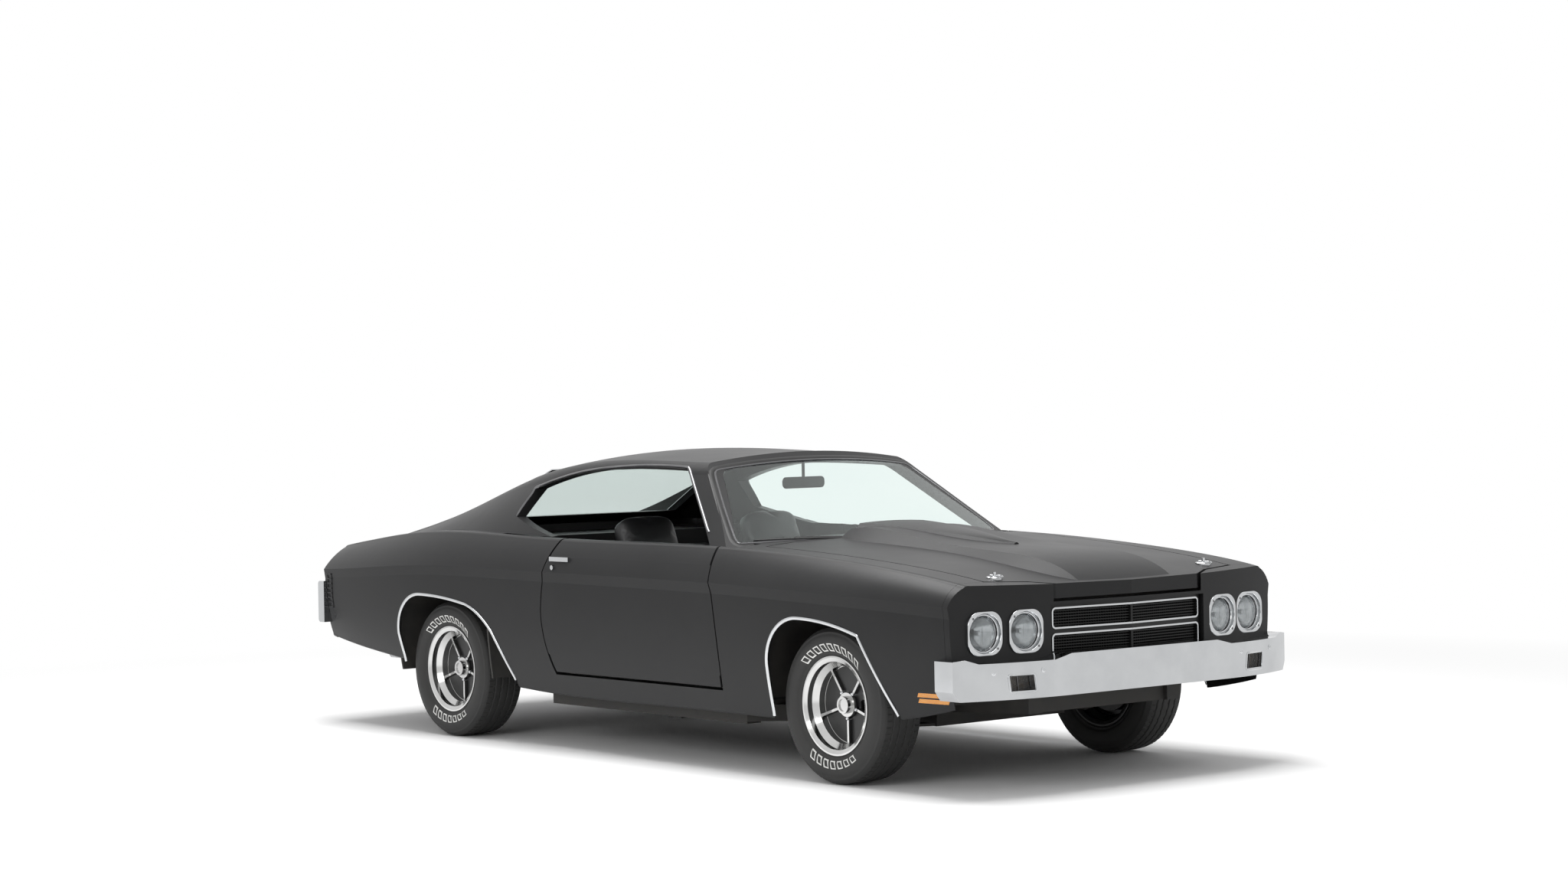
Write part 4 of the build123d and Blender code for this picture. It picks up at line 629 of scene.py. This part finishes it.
def raised_blocks(hub, side):
    """Plain slanted outlines standing on the sidewall, in two arcs: each a closed loop round a leaning box,
    its edges laid at the sidewall's own height."""
    lean, wide, low, high, stroke, pitch = 0.03, 0.125, 224, 257, 5, 0.18
    middles = np.r_[pi / 2 + np.arange(-4, 5) * pitch, 3 * pi / 2 + np.arange(-3, 4) * pitch]
    box = straight_sides(np.array([(0, 0), (1, 0), (1, 1), (0, 1)]), 8)
    edges = []
    for inset, lift in ((0, -0.6), (0.3, 0.9), (stroke - 0.3, 0.9), (stroke, -0.6)):
        r = low + inset + box[:, 1] * (high - low - 2 * inset)
        a = (box[:, 0] - 0.5) * (wide - 2 * inset / 240) + lean * (box[:, 1] - 0.5) * side * -2
        edges.append(np.stack([r, a, sidewall(r) + lift], 1))
    r, a, out = np.moveaxis(np.stack(edges, 1), -1, 0)
    rings = [np.stack([r * np.cos(a + middle), side * out, r * np.sin(a + middle)], -1) for middle in middles]
    return joined([((hub + ring).reshape(-1, 3), grid(len(box), 4, True, True)) for ring in rings])


def wheel_nuts(hub, side):
    """Five six-sided nuts with round ends, set between the spoke ridges."""
    profile = [(0, -4), (11, -4), (11, 9), (8.5, 13), (8.5, 18), (5.5, 21.5), (0, 22.5)]
    spots = pi / 2 + pi / 5 + np.arange(5) * 2 * pi / 5
    return joined([turned(profile, np.asarray(hub) + (56.5 * cos(a), side * 11, 56.5 * sin(a)),
                          (0, side, 0), 6) for a in spots])


for end, name, side in WHEELS:
    hub = (AXLES[end], side * WHEEL_Y, WHEEL_Z)
    wheel = f"{end}_{name}"
    tyre = piece(f"ribbed_tyre_{wheel}", tyre_shape(hub, side), tread_rubber, f"wheel_{wheel}", 24)
    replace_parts(tyre, f"tyre_{wheel}")
    piece(f"sidewall_blocks_{wheel}", raised_blocks(hub, side), white_rubber, f"wheel_{wheel}")
    piece(f"wheel_nuts_{wheel}", wheel_nuts(hub, side), bright_plate, f"wheel_{wheel}")


# ------------ bright trim on the body
# Wheel openings seen from the side, from the axle: rows as bent_run takes them.
FRONT_ARCH = [(-349, 262), (-352, 478), (-132.6, 684.4, -286, 622), (245, 628, 58.3, 670.2),
              (436, 312)]
REAR_ARCH = [(-350, 342), (-366, 480), (-133.5, 683.8, -290, 624), (260, 650, 64, 675.4),
             (459, 526, 376, 598), (607, 306)]


def left_of(line):
    """Unit normals of a side-view line, on the left of its run."""
    return unit(np.stack([-np.gradient(line[:, 1]), np.gradient(line[:, 0])], 1))


def laid(line, node, over):
    """A side-view line in space: at each point a node's reach over the spot beside it, the mean of five."""
    y = skin(node, 1, 1, over)[:, 1]
    return run_of(line[:, 0], np.convolve(np.pad(y, 2, mode="edge"), np.ones(5) / 5, "valid"), line[:, 1])


def arch_band(arch, axle_x, node):
    """A flat bright band round a wheel opening, laid on the panel and lipped into the opening."""
    line = bent_run(arch, 14) + (axle_x, 0)
    section = [(3.5, -9), (3.5, 1), (2, 3.6), (-1, 4.4), (-6, 4), (-10, 2.4), (-11.5, 0.4),
               (-11, -2.5), (-2, -4.5)]
    return carried(laid(line, node, line + 9 * left_of(line)), section, (0, 1, 0))


for end, arch, panel in (("front", FRONT_ARCH, "fender_left"), ("rear", REAR_ARCH, "quarter_left")):
    band = arch_band(arch, AXLES[end], panel)
    piece(f"arch_moulding_{end}_left", band, bright_plate)
    piece(f"arch_moulding_{end}_right", mirrored(band), bright_plate)


def screen_x(y, z):
    """Windscreen face: its plan arc at height z, laid between the arcs at 880 and 1480."""
    s = (z - 880) / 600
    middle, half, corner = 1085 + s * (202 - 1085), 840 + s * (516 - 840), 910 + s * (134 - 910)
    return middle - (middle - corner) * (y / half) ** 2


# Body and cabin sections that bound the windscreen.
# Columns: x; edge half-width and height of the cowl; its crown height.
COWL_ROWS = np.array([(350, 866, 952, 986), (500, 868, 951, 985), (1100, 858, 938, 968)])
# Columns: x; half-width at the base; eave half-width and height; crown height.
CABIN_ROWS = np.array([(-200, 842, 598, 1298, 1358), (350, 834, 592, 1288, 1342),
                       (1100, 822, 585, 1268, 1318)])
ROOF_T = 34
SCREEN_MIDDLE = (0, 1110)


def columns_at(x, rows):
    """A table's columns after its first, at x in the first."""
    return [np.interp(x, rows[:, 0], column) for column in rows.T[1:]]


def screen_outline(count):
    """The windscreen pane's edge in y and z: on rays from its middle, the reach at which it meets the
    pillars, the roof or the cowl, found by halving."""
    ray = circle(count) * (3, 1)
    near, far = np.zeros(count), np.full(count, 600)
    for _ in range(28):
        r = (near + far) / 2
        y, z = (ray * r[:, None] + SCREEN_MIDDLE).T
        x = screen_x(y, z)
        base, eave, eave_z, crown = columns_at(x, CABIN_ROWS)
        cowl_y, cowl_z, cowl_top = columns_at(x, COWL_ROWS)
        up = (z - 900) / (eave_z - 900)
        side = base + up * (eave - base) + 40 * up * (1 - up) - ROOF_T
        top = crown - ROOF_T - (crown - eave_z - 14) * (y / eave) ** 2
        foot = cowl_top - (cowl_top - cowl_z - 9) * (y / cowl_y) ** 2
        out = (np.abs(y) > side) | (z > top) | (z < foot)
        near, far = np.where(out, near, r), np.where(out, r, far)
    return ray * near[:, None] + SCREEN_MIDDLE


def even(path, count):
    """A closed path's points spread evenly along its length."""
    path = np.concatenate([path, path[:1]])
    return sampled(path, np.linspace(0, lengths(path)[-1], count, endpoint=False))


def rounded(path, passes):
    """A closed path with its corners eased: in each pass a point is the mean of itself and its neighbours."""
    for _ in range(passes):
        path = (path + np.roll(path, 1, 0) + np.roll(path, -1, 0)) / 3
    return path


def screen_frame(section):
    """A section carried round the windscreen's edge, out from it along the face's own normal."""
    edge = rounded(even(screen_outline(900), 260), 3)
    y, z = edge.T
    x = screen_x(y, z)
    slope_y = (screen_x(y + 1, z) - screen_x(y - 1, z)) / 2
    slope_z = (screen_x(y, z + 1) - screen_x(y, z - 1)) / 2
    normal = unit(run_of(1, -slope_y, -slope_z))
    return carried(run_of(x, y, z), section, normal, closed=True)


SURROUND = [(-5, -5), (-5, 2), (-2, 4), (22, 5), (30, 2), (30, -5)]
MOULDING = [(-6.5, -4), (-6.5, 4.5), (-4, 6.2), (0.5, 6.2), (2.5, 3.5), (2.5, -4)]
piece("windscreen_surround", screen_frame(SURROUND), black_enamel)
piece("windscreen_moulding", screen_frame(MOULDING), dark_trim)


def backlight_moulding():
    """A bright strip round the back window's straight-sided opening, between the sail panels."""
    slope = 300 / 622
    corners = np.array([(500, 1262), (-500, 1262), (-545, 1030), (545, 1030)])
    y, z = straight_sides(corners, 24).T
    section = [(5, -2), (5, 2), (0, 4.6), (-9, 4.6), (-13, 2), (-13, -2)]
    return carried(run_of(-1460 + (z - 1000) / slope, y, z), section, unit((-slope, 0, 1)), closed=True)


piece("backlight_moulding", backlight_moulding(), bright_plate)

WINDOW_TOP = [(640, 1002), (284, 1276), (-313, 1272, -20, 1284), (-846, 1180, -590, 1240),
              (-868, 1052)]


def drip_rail():
    """A bright rail over the side window, from the screen pillar's foot to the rear of the opening."""
    line = bent_run(WINDOW_TOP, 16)
    line = line - 8 * left_of(line)
    section = [(-6, -4), (-6, 3), (-2, 6), (4, 6), (7, 2), (6, -4)]
    return carried(laid(line, "roof", line), section, (0, 0.93, 0.37))


rail = drip_rail()
piece("drip_rail_left", rail, dark_trim)
piece("drip_rail_right", mirrored(rail), dark_trim)


# ------------ nose and tail details
LAMP_Y = (563, 757, -563, -757)
LAMP_Z = 646
UP = np.array([0, 0, 1])


def lamp_frame(y):
    """Middle, right, up and out of one headlamp's face, turned four degrees outwards; the middle is on the
    nose's plan arc, at 2432 on the centreline and drawn back by 114 a metre out."""
    toe = radians(4)
    right = np.array([-np.sign(y) * sin(toe), cos(toe), 0])
    return np.array([2432 - 114 * (y / 1000) ** 2, y, LAMP_Z]), right, UP, np.cross(right, UP)


def dome(radius, height, place, axis, steps):
    """A low round head: radius r at height h * (1 - (r / R)^2), on a short skirt."""
    r = np.linspace(radius, 0, 7)
    crown = np.stack([r, height * (1 - (r / radius) ** 2)], 1)
    return turned(np.concatenate([[(0, -3), (radius, -3)], crown]), place, axis, steps)


def own_copy(node, name):
    """A copy of a CAD node's mesh without its stored normals."""
    mesh = frame["nodes"][node].data.copy()
    mesh.name = name
    if "custom_normal" in mesh.attributes:
        mesh.attributes.remove(mesh.attributes["custom_normal"])
    return mesh


def flattened(work):
    """Joins the triangles of each flat face."""
    bmesh.ops.dissolve_limit(work, angle_limit=radians(0.4), verts=work.verts, edges=work.edges)


CRISP = 30


def eased(node, name, width, body="chassis"):
    """A rigid node's own shape with its sharp edges rounded: a copy merged into flat faces, and a bevel on
    what turns by more than the crisp angle."""
    mesh = own_copy(node, name)
    fitted(mesh, 2e-5, flattened)
    thing = dressed(name, mesh, bright_plate, body, CRISP)
    bevel = thing.modifiers.new("eased", "BEVEL")
    bevel.width, bevel.segments, bevel.limit_method = width * MM, 4, "ANGLE"
    bevel.angle_limit, bevel.harden_normals = radians(CRISP), True
    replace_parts(thing, node)


eased("front_bumper", "front_bumper_bar", 13)
eased("rear_bumper", "rear_bumper_bar", 9)
eased("headlamp_bezels", "lamp_bezels", 3)
for side in ("left", "right"):
    eased(f"door_handles_{side}", f"door_pull_{side}", 2.6, f"door_{side}")


def lamp_rings():
    """A thin bright bead inside each bezel's mouth, and two small screws beside it."""
    beads, screws = [], []
    for y in LAMP_Y:
        middle, right, up, out = lamp_frame(y)
        path = middle + circle(72, 73.6) @ [right, up] - 9 * out
        beads.append(carried(path, circle(8, 3.4), out, closed=True))
        for corner in (-60.76, 60.76):
            screws.append(dome(5, 2.6, middle + corner * (right - up) + 7.2 * out, out, 12))
    return joined(beads), joined(screws)


beads, screws = lamp_rings()
piece("lamp_beads", beads, bright_plate)
piece("bezel_screws", screws, dark_trim)


def headlamp_parts():
    """Each headlamp: a bowl whose depth falls with the square of the radius, a bulb cap, and over them a
    ribbed glass of even wall."""
    bowls, lenses = [], []
    cap = [(0, -30), (9, -31), (11, -36), (9, -50), (0, -56)]
    for y in LAMP_Y:
        middle, right, up, out = lamp_frame(y)
        r = np.linspace(2, 69, 16)
        depth = -58 + 38 * (r / 69) ** 2
        bowl = np.concatenate([[(0, -58)], np.stack([r, depth], 1), [(71, -18), (71, -22)],
                               np.stack([r + 1.5, depth - 3], 1)[::-1], [(0, -61)]])
        bowls += [turned(bowl, middle, out, 64), turned(cap, middle, out, 24)]
        r = np.linspace(0, 70, 26)
        face = -11 - 9 * (r / 70) ** 4
        glass = np.concatenate([np.stack([r, face], 1), np.stack([r, face - 3], 1)[::-1]])
        points, faces = turned(glass, middle, out, 96)
        inner = np.tile(np.repeat([0, 1], 26), 96)
        wave = np.abs(np.sin((points - middle) @ right * pi / 9))
        lenses.append((points + (inner * 1.3 * wave)[:, None] * out, faces))
    return joined(bowls), joined(lenses)


bowls, lenses = headlamp_parts()
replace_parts(piece("lamp_lenses", lenses, clear_glass, angle=60), "headlamps")
piece("lamp_bowls", bowls, mirror_bowl)


def brought_forward(node, name, look_of):
    """The grille's own shape set forward and drawn in a little across, clear of the lamp panels."""
    mesh = own_copy(node, name)
    points = mesh_points(mesh) * (1, 0.985, 1) + (14, 0, 0)
    mesh.vertices.foreach_set("co", (points * MM).astype(np.float32).ravel())
    fitted(mesh, 2e-5)
    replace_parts(dressed(name, mesh, look_of, "chassis", CRISP), node)


brought_forward("grille", "grille_face", black_enamel)
brought_forward("grille_trim", "grille_beads", bright_plate)


def grille_uprights():
    """Fine upright slats behind the grille's bars, even along each swept half, in the two rows of cells."""
    slats = []
    section = [(-1, -9), (1, -9), (1, 9), (-1, 9)]
    sweep = radians(4.5)
    for side in (1, -1):
        for u in np.arange(22, 418, 13):
            x = 2426 - 22 * cos(sweep) - u * sin(sweep)
            y = side * u * cos(sweep)
            for low, high in ((545, 624), (648, 727)):
                slats.append(carried([(x, y, low), (x, y, high)], section, (1, 0, 0)))
    return joined(slats)


piece("grille_uprights", grille_uprights(), black_enamel)


def bumper_bolts():
    """Round-headed bumper bolts: one each side of every turn lamp, with a shallow slot ring, and four at the
    back."""
    heads = []
    for y in (566, 792, -566, -792):
        spot = skin("front_bumper", 0, 1, [(y, 500)])[0]
        lean = (1, 0.45 * copysign(1, y) * (abs(y) > 600), 0)
        heads.append(dome(12, 3.2, spot, lean, 28))
        heads.append(turned([(6, 1), (6, 3.4), (4.4, 3.4), (4.4, 1)], spot, lean, 20, closed=True))
    for y in (480, 880, -480, -880):
        spot = skin("rear_bumper", 0, -1, [(y, 600)])[0]
        heads.append(dome(12, 3.2, spot, (-1, 0.12 * copysign(1, y), 0), 28))
    return joined(heads)


piece("bumper_bolts", bumper_bolts(), bright_plate)

TURN_LAMP = np.array([(606, 424), (716, 424), (724, 484), (614, 484)])
TAIL_LAMP = np.array([(560, 556), (830, 556), (830, 664), (560, 664)])


def lamp_surround(outline, node, sign, grow, wide, proud):
    """A thin frame round a lamp's outline on a bumper, each point at the bumper's own face."""
    middle = outline.mean(0)
    flat = middle + (straight_sides(outline, 10) - middle) * (1 + grow / np.abs(outline - middle).max(0))
    path = skin(node, 0, sign, rounded(flat, 2))
    section = [(-wide / 2, -3), (-wide / 2, proud * 0.6), (-wide / 4, proud), (wide / 4, proud),
               (wide / 2, proud * 0.6), (wide / 2, -3)]
    return carried(path, section, (sign, 0, 0), closed=True)


piece("turn_lamp_surrounds", pair(lamp_surround(TURN_LAMP, "front_bumper", 1, 7, 6, 3)), bright_plate)


def turn_guards():
    """Two upright bars across each turn lamp, a little in front of the lens."""
    bars = []
    z = np.linspace(424, 484, 8)
    for y in (643, 688):
        spots = np.stack([y + (z - 454) * 8 / 60, z], 1)
        bars.append(carried(skin("turn_lamps", 0, 1, spots) + (1, 0, 0), ridge(1.6, -3, 2, 3), (1, 0, 0)))
    return pair(joined(bars))


piece("turn_lamp_guards", turn_guards(), dark_trim)


def louvre():
    """The quarter's marker louvre: two uprights and eight short blades, laid on the panel near the tail."""
    low, high, front, back = 580, 752, -2278, -2326
    blade = [(-4.5, -3), (-4.5, 1), (-1, 5.5), (3, 5), (4.5, -3)]
    runs = [((x, low), (x, high), 12, bar(3, 3)) for x in (front - 2.5, back + 2.5)]
    runs += [((front, z), (back, z), 8, blade) for z in np.linspace(low + 4, high - 4, 8)]
    shapes = [carried(skin("quarter_left", 1, 1, np.linspace(start, end, count)), section, (0, 1, 0))
              for start, end, count, section in runs]
    return pair(joined(shapes))


piece("marker_louvres", louvre(), moulded_black)


def pin_rings():
    """The hood pins' rings: a turned bead on each plate and a wire loop through each clip."""
    shapes = []
    bead = [(27, -4), (31.5, -3), (33.5, 0), (31, 2.6), (27, 3.2), (24, 1), (24, -4)]
    for side in (1, -1):
        top = skin("hood", 2, 1, [(2262, side * 600)])[0] + (0, 0, 3.5)
        shapes.append(turned(bead, top, (0.06, side * 0.02, 1), 40, closed=True))
        loop = top + (34, 0, 6) + circle(30) @ [(11, 0, -4), (0, 11, 0)]
        shapes.append(carried(loop, circle(6, 1.6), (0, 0, 1), closed=True))
    return joined(shapes)


piece("hood_pin_rings", pin_rings(), bright_plate, "hood")


def wipers():
    """Two parked wipers, low behind the hood: a flat arm from a round pivot, and a blade on the screen."""
    shapes = []
    blade = [(-3, -5), (-4, 4), (0, 7), (4, 4), (3, -5)]
    boss = [(0, -26), (16, -26), (16, 2), (11, 6), (0, 7)]
    s = np.linspace(0, 1, 24)
    for pivot in (330, -210):
        y = pivot - 470 * s
        z = 972 + 6 * s + 4 * np.sin(pi * s)
        x = screen_x(y, z) + 15 + 6 * np.sin(pi * s)
        shapes.append(carried(run_of(x, y, z)[:15], bar(5, 1.5), (1, 0, 0.7)))
        z = z - 6
        shapes.append(carried(run_of(screen_x(y, z) + 7, y, z)[5:], blade, (1, 0, 0.7)))
        shapes.append(turned(boss, (screen_x(pivot, 966) + 16, pivot, 966), (0.8, 0, 0.6), 24))
    return joined(shapes)


piece("wipers", wipers(), moulded_black)


def rear_plate():
    """A blank number plate and a thin frame round it, under the rear bumper against the tail panel."""
    x, z = -2426, 424
    outline = round_box((152, 76), 12, 6)
    sheet = plate(outline, 1.6, 0.4, (x - 1, 0, z), (0, -1, 0), UP)
    edge = outline @ [(0, -1, 0), (0, 0, 1)] + (x - 2, 0, z)
    return sheet, carried(even(edge, 120), ridge(4, -2, 2, 3), (-1, 0, 0), closed=True)


sheet, ring = rear_plate()
piece("rear_number_plate", sheet, blank_white)
piece("rear_plate_frame", ring, bright_plate)


def tail_frames():
    """Bright frames round the tail lamps with one bar across each, at the rear bumper's own face."""
    line = skin("tail_lamps", 0, -1, np.linspace((562, 610), (828, 610), 16))
    cross_bar = carried(line, ridge(3, -2, 2, 3.2), (-1, 0, 0))
    return pair(joined([lamp_surround(TAIL_LAMP, "rear_bumper", -1, 5, 7, 4), cross_bar]))


piece("tail_lamp_frames", tail_frames(), bright_plate)


# ------------ cabin
def pillow(half, place, tilt, square, across=64):
    """A cushion form: a rounded box |x/a|^n + |y/b|^n + |z/c|^n = 1 by signed powers of sines and cosines,
    tilted about y."""
    along = 32
    u = np.linspace(0, 2 * pi, across, endpoint=False)[:, None]
    v = np.linspace(-pi / 2, pi / 2, along)
    waves = (np.cos(u), np.sin(u), np.cos(v), np.sin(v))
    cos_u, sin_u, cos_v, sin_v = (np.sign(wave) * np.abs(wave) ** square for wave in waves)
    box = np.stack([cos_v * cos_u, cos_v * sin_u, sin_v + 0 * u], -1).reshape(-1, 3)
    t = radians(tilt)
    turn = [(cos(t), 0, -sin(t)), (0, 1, 0), (sin(t), 0, cos(t))]
    return box * half @ turn + place, grid(across, along)


def evaluated(thing):
    """The thing's mesh after its modifiers; the thing goes."""
    mesh = bpy.data.meshes.new_from_object(thing.evaluated_get(bpy.context.evaluated_depsgraph_get()))
    bpy.data.objects.remove(thing)
    return mesh


def shape_of(mesh):
    """A mesh of four-sided faces as a shape."""
    faces = np.zeros(len(mesh.loops), np.int32)
    mesh.loops.foreach_get("vertex_index", faces)
    return mesh_points(mesh), faces.reshape(-1, 4)


def swelled(name, mesh, cap):
    """The mesh's points after twenty frames as cloth under pressure, each point's move kept under cap."""
    thing = linked(name, mesh)
    cloth = thing.modifiers.new("swell", "CLOTH")
    cloth.settings.quality = 4
    cloth.settings.use_pressure = True
    cloth.settings.uniform_pressure_force = 4
    cloth.settings.effector_weights.gravity = 0
    cloth.collision_settings.use_collision = False
    scene = bpy.context.scene
    for number in range(1, 21):
        scene.frame_set(number)
    rest = mesh_points(mesh)
    move = mesh_points(evaluated(thing)) - rest
    scene.frame_set(1)
    return rest + move * np.minimum(1, cap / np.maximum(np.linalg.norm(move, axis=1, keepdims=True), 1e-9))


def stuffed(name, shape, cap, voxel=0.009):
    """A stuffed form: the shape remeshed in even quads, swelled, and divided once."""
    thing = linked(name + "_form", meshed(name + "_form", shape, 1e-5))
    remesh = thing.modifiers.new("even", "REMESH")
    remesh.mode, remesh.voxel_size = "VOXEL", voxel
    mesh = evaluated(thing)
    points, faces = shape_of(mesh)
    points = swelled(name + "_cloth", mesh, cap)
    thing = linked(name + "_fine", meshed(name + "_fine", (points, faces), 1e-5))
    smooth = thing.modifiers.new("fine", "SUBSURF")
    smooth.levels = smooth.render_levels = 1
    return shape_of(evaluated(thing))


def pleated(shape, face, pitch, depth, margin):
    """Sewn pleats pressed into the cushion where its surface faces one way: a narrow groove at every pitch
    across the car, and one round the field that they fill, set in from the cushion's ends by the margins."""
    points, faces = shape
    p = points[faces]
    total = np.zeros_like(points)
    for k in range(4):
        np.add.at(total, faces[:, k], np.cross(p[:, 2] - p[:, 0], p[:, 3] - p[:, 1]))
    normal = unit(total + 1e-12)
    facing = np.clip((normal @ unit(face) - 0.72) / 0.2, 0, 1)
    place = points @ np.stack([(0, 1, 0), unit(np.cross(face, (0, 1, 0)))], 1)
    low, high = place.min(0), place.max(0)
    away = np.abs(place - (low + high) / 2)
    past = away - ((high - low) / 2 - margin)
    inside = np.clip(-past / 14, 0, 1).prod(1)
    groove = np.clip((np.abs(away[:, 0] / pitch % 1 - 0.5) * 2 - 0.62) / 0.38, 0, 1) ** 1.5
    edge = np.clip(1 - np.abs(past.max(1)) / 9, 0, 1)
    press = facing * depth * (groove * inside + 0.9 * edge)
    return points - press[:, None] * normal, faces


SEAT_Y = 370


def seat_pieces():
    """One front seat: a pleated cushion and backrest, and a plain head restraint, all stuffed."""
    cushion = stuffed("front_cushion", pillow((236, 212, 54), (92, SEAT_Y, 432), 4, 0.34), 12)
    cushion = pleated(cushion, (-0.07, 0, 1), 42, 7, (58, 60))
    back = stuffed("front_back", pillow((62, 210, 232), (-232, SEAT_Y, 660), -22, 0.36), 12)
    back = pleated(back, (0.93, 0, 0.37), 42, 7, (56, 66))
    head = stuffed("front_head", pillow((54, 158, 98), (-345, SEAT_Y, 948), -22, 0.5), 10)
    return cushion, back, head


def seat_base():
    """The seat's hard parts: a shell under the cushion, a back board, two hinge cheeks and two runners."""
    shell = plate(round_box((215, 205), 40, 7), 42, 8, (85, SEAT_Y, 352), (1, 0, 0), (0, 1, 0))
    board = plate(round_box((190, 225), 60, 7), 22, 7, (-268, SEAT_Y, 640), (0, 1, 0), (-0.37, 0, 0.93))
    runners = [plate(round_box((236, 15), 7, 5), 50, 3, (55, SEAT_Y + v, 301), (1, 0, 0), (0, 1, 0))
               for v in (-165, 165)]
    hinges = [plate(round_box((30, 62), 20, 6), 8, 2, (-168, SEAT_Y + v, 470), (1, 0, 0), UP)
              for v in (-214, 222)]
    return joined([shell, board] + hinges), joined(runners)


def padding(name, shape):
    """A padded piece of black vinyl."""
    part = piece(name, shape, black_vinyl, angle=60)
    return part


SIDES = (("left", lambda shape: shape), ("right", mirrored))
seat = seat_pieces()
for side, turn in SIDES:
    for label, shape in zip(("cushion", "backrest", "head_restraint"), seat):
        padding(f"seat_{label}_{side}", turn(shape))
shells, runners = seat_base()
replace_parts(piece("seat_shells", pair(shells), moulded_black), "front_seats")
piece("seat_runners", pair(runners), under_coat)

bench = stuffed("rear_cushion", pillow((212, 560, 46), (-655, 0, 497), 2, 0.3, 96), 12, 0.012)
rest = stuffed("rear_back", pillow((50, 560, 180), (-880, 0, 718), -24, 0.3, 96), 12, 0.012)
bench = padding("rear_cushion", pleated(bench, (0, 0, 1), 44, 7, (70, 60)))
padding("rear_backrest", pleated(rest, (0.91, 0, 0.41), 44, 7, (70, 60)))
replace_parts(bench, "rear_seat")

# Columns: place across, height and radius of each dial.
DIALS = ((430, 800, 52), (300, 800, 52), (525, 812, 30), (525, 762, 24),
         (212, 812, 30), (212, 762, 24))


def gauges():
    """Dials before the driver, on the dash's rear: turned rings, each round a face with a raised middle."""
    rings, faces = [], []
    for y, z, r in DIALS:
        spot = skin("dashboard", 0, -1, [(y, z)])[0]
        ring = [(r, -8), (r + 4, -6), (r + 5, 6), (r + 1, 11), (r - 3, 8), (r - 3, -8)]
        rings.append(turned(ring, spot, (-1, 0, 0), 40, closed=True))
        face = [(0, -2), (r - 3, -2), (r - 3, 1), (5, 1.2), (4, 5), (0, 5.4)]
        faces.append(turned(face, spot, (-1, 0, 0), 40))
    return joined(rings), joined(faces)


dial_rings, dial_faces = gauges()
piece("dial_rings", dial_rings, bright_plate)
piece("dial_faces", dial_faces, moulded_black)


def dash_pad():
    """A padded roll along the top rear edge of the dash: an oval section carried across it."""
    return carried(run_of(622, np.linspace(-640, 640, 60), 884), circle(16) * (30, 20), (0, 0, 1))


piece("dash_roll", dash_pad(), black_vinyl)


def mirror_parts():
    """The inside mirror: a rounded shell on a stalk up to the roof, and a flat glass towards the cabin."""
    outline = round_box((122, 26), 20, 8)
    shell = plate(outline, 20, 7, (352, 0, 1199), (0, 1, 0), UP)
    stalk = carried([(361, 0, z) for z in (1218, 1262, 1306)], circle(10, 7), (1, 0, 0))
    glass = plate(outline * (0.96, 0.86), 3, 1, (350.6, 0, 1199), (0, 1, 0), UP)
    return joined([shell, stalk]), glass


shell, glass = mirror_parts()
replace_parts(piece("inside_mirror_shell", shell, moulded_black), "inside_mirror")
piece("inside_mirror_glass", glass, bright_plate)


def door_trim():
    """Inside door face: an armrest roll, and a winder's boss, arm and knob, on the door's inner wall."""
    inner = 800
    s = np.linspace(0, 1, 30)
    path = run_of(-200 + 760 * s, inner - 22, 640 + 8 * np.sin(pi * s))
    armrest = carried(path, circle(12) * (26, 20), (0, 0, 1))
    boss = [(0, -6), (20, -6), (18, 8), (0, 10)]
    knob = [(0, -4), (9, -4), (10, 14), (6, 20), (0, 21)]
    arm = [(330, inner - 12, 720), (360, inner - 16, 690), (392, inner - 20, 664)]
    return armrest, joined([turned(boss, (330, inner - 2, 720), (0, -1, 0), 24),
                            carried(arm, bar(5, 3), (0, 1, 0)),
                            turned(knob, (392, inner - 22, 664), (0, -1, 0), 18)])


armrest, winder = door_trim()
for side, turn in SIDES:
    piece(f"armrest_{side}", turn(armrest), black_vinyl, f"door_{side}")
    piece(f"winder_{side}", turn(winder), bright_plate, f"door_{side}")


def wheel_grip():
    """A thicker steering rim with finger swells: its section grows and shrinks sixty times round."""
    tilt = radians(24)
    axis = np.array([-cos(tilt), 0, sin(tilt)])
    radial = circle(240) @ [(0, 1, 0), (sin(tilt), 0, cos(tilt))]
    size = 11.2 + 0.7 * np.cos(np.arange(240) * pi / 2)
    u, v = circle(14).T
    section = u[:, None] * radial[:, None] + v[:, None] * axis
    points = (420, SEAT_Y, 800) + 188 * radial[:, None] + size[:, None, None] * section
    return points.reshape(-1, 3), grid(240, 14, True, True)


piece("steering_grip", wheel_grip(), moulded_black, "steering_wheel")
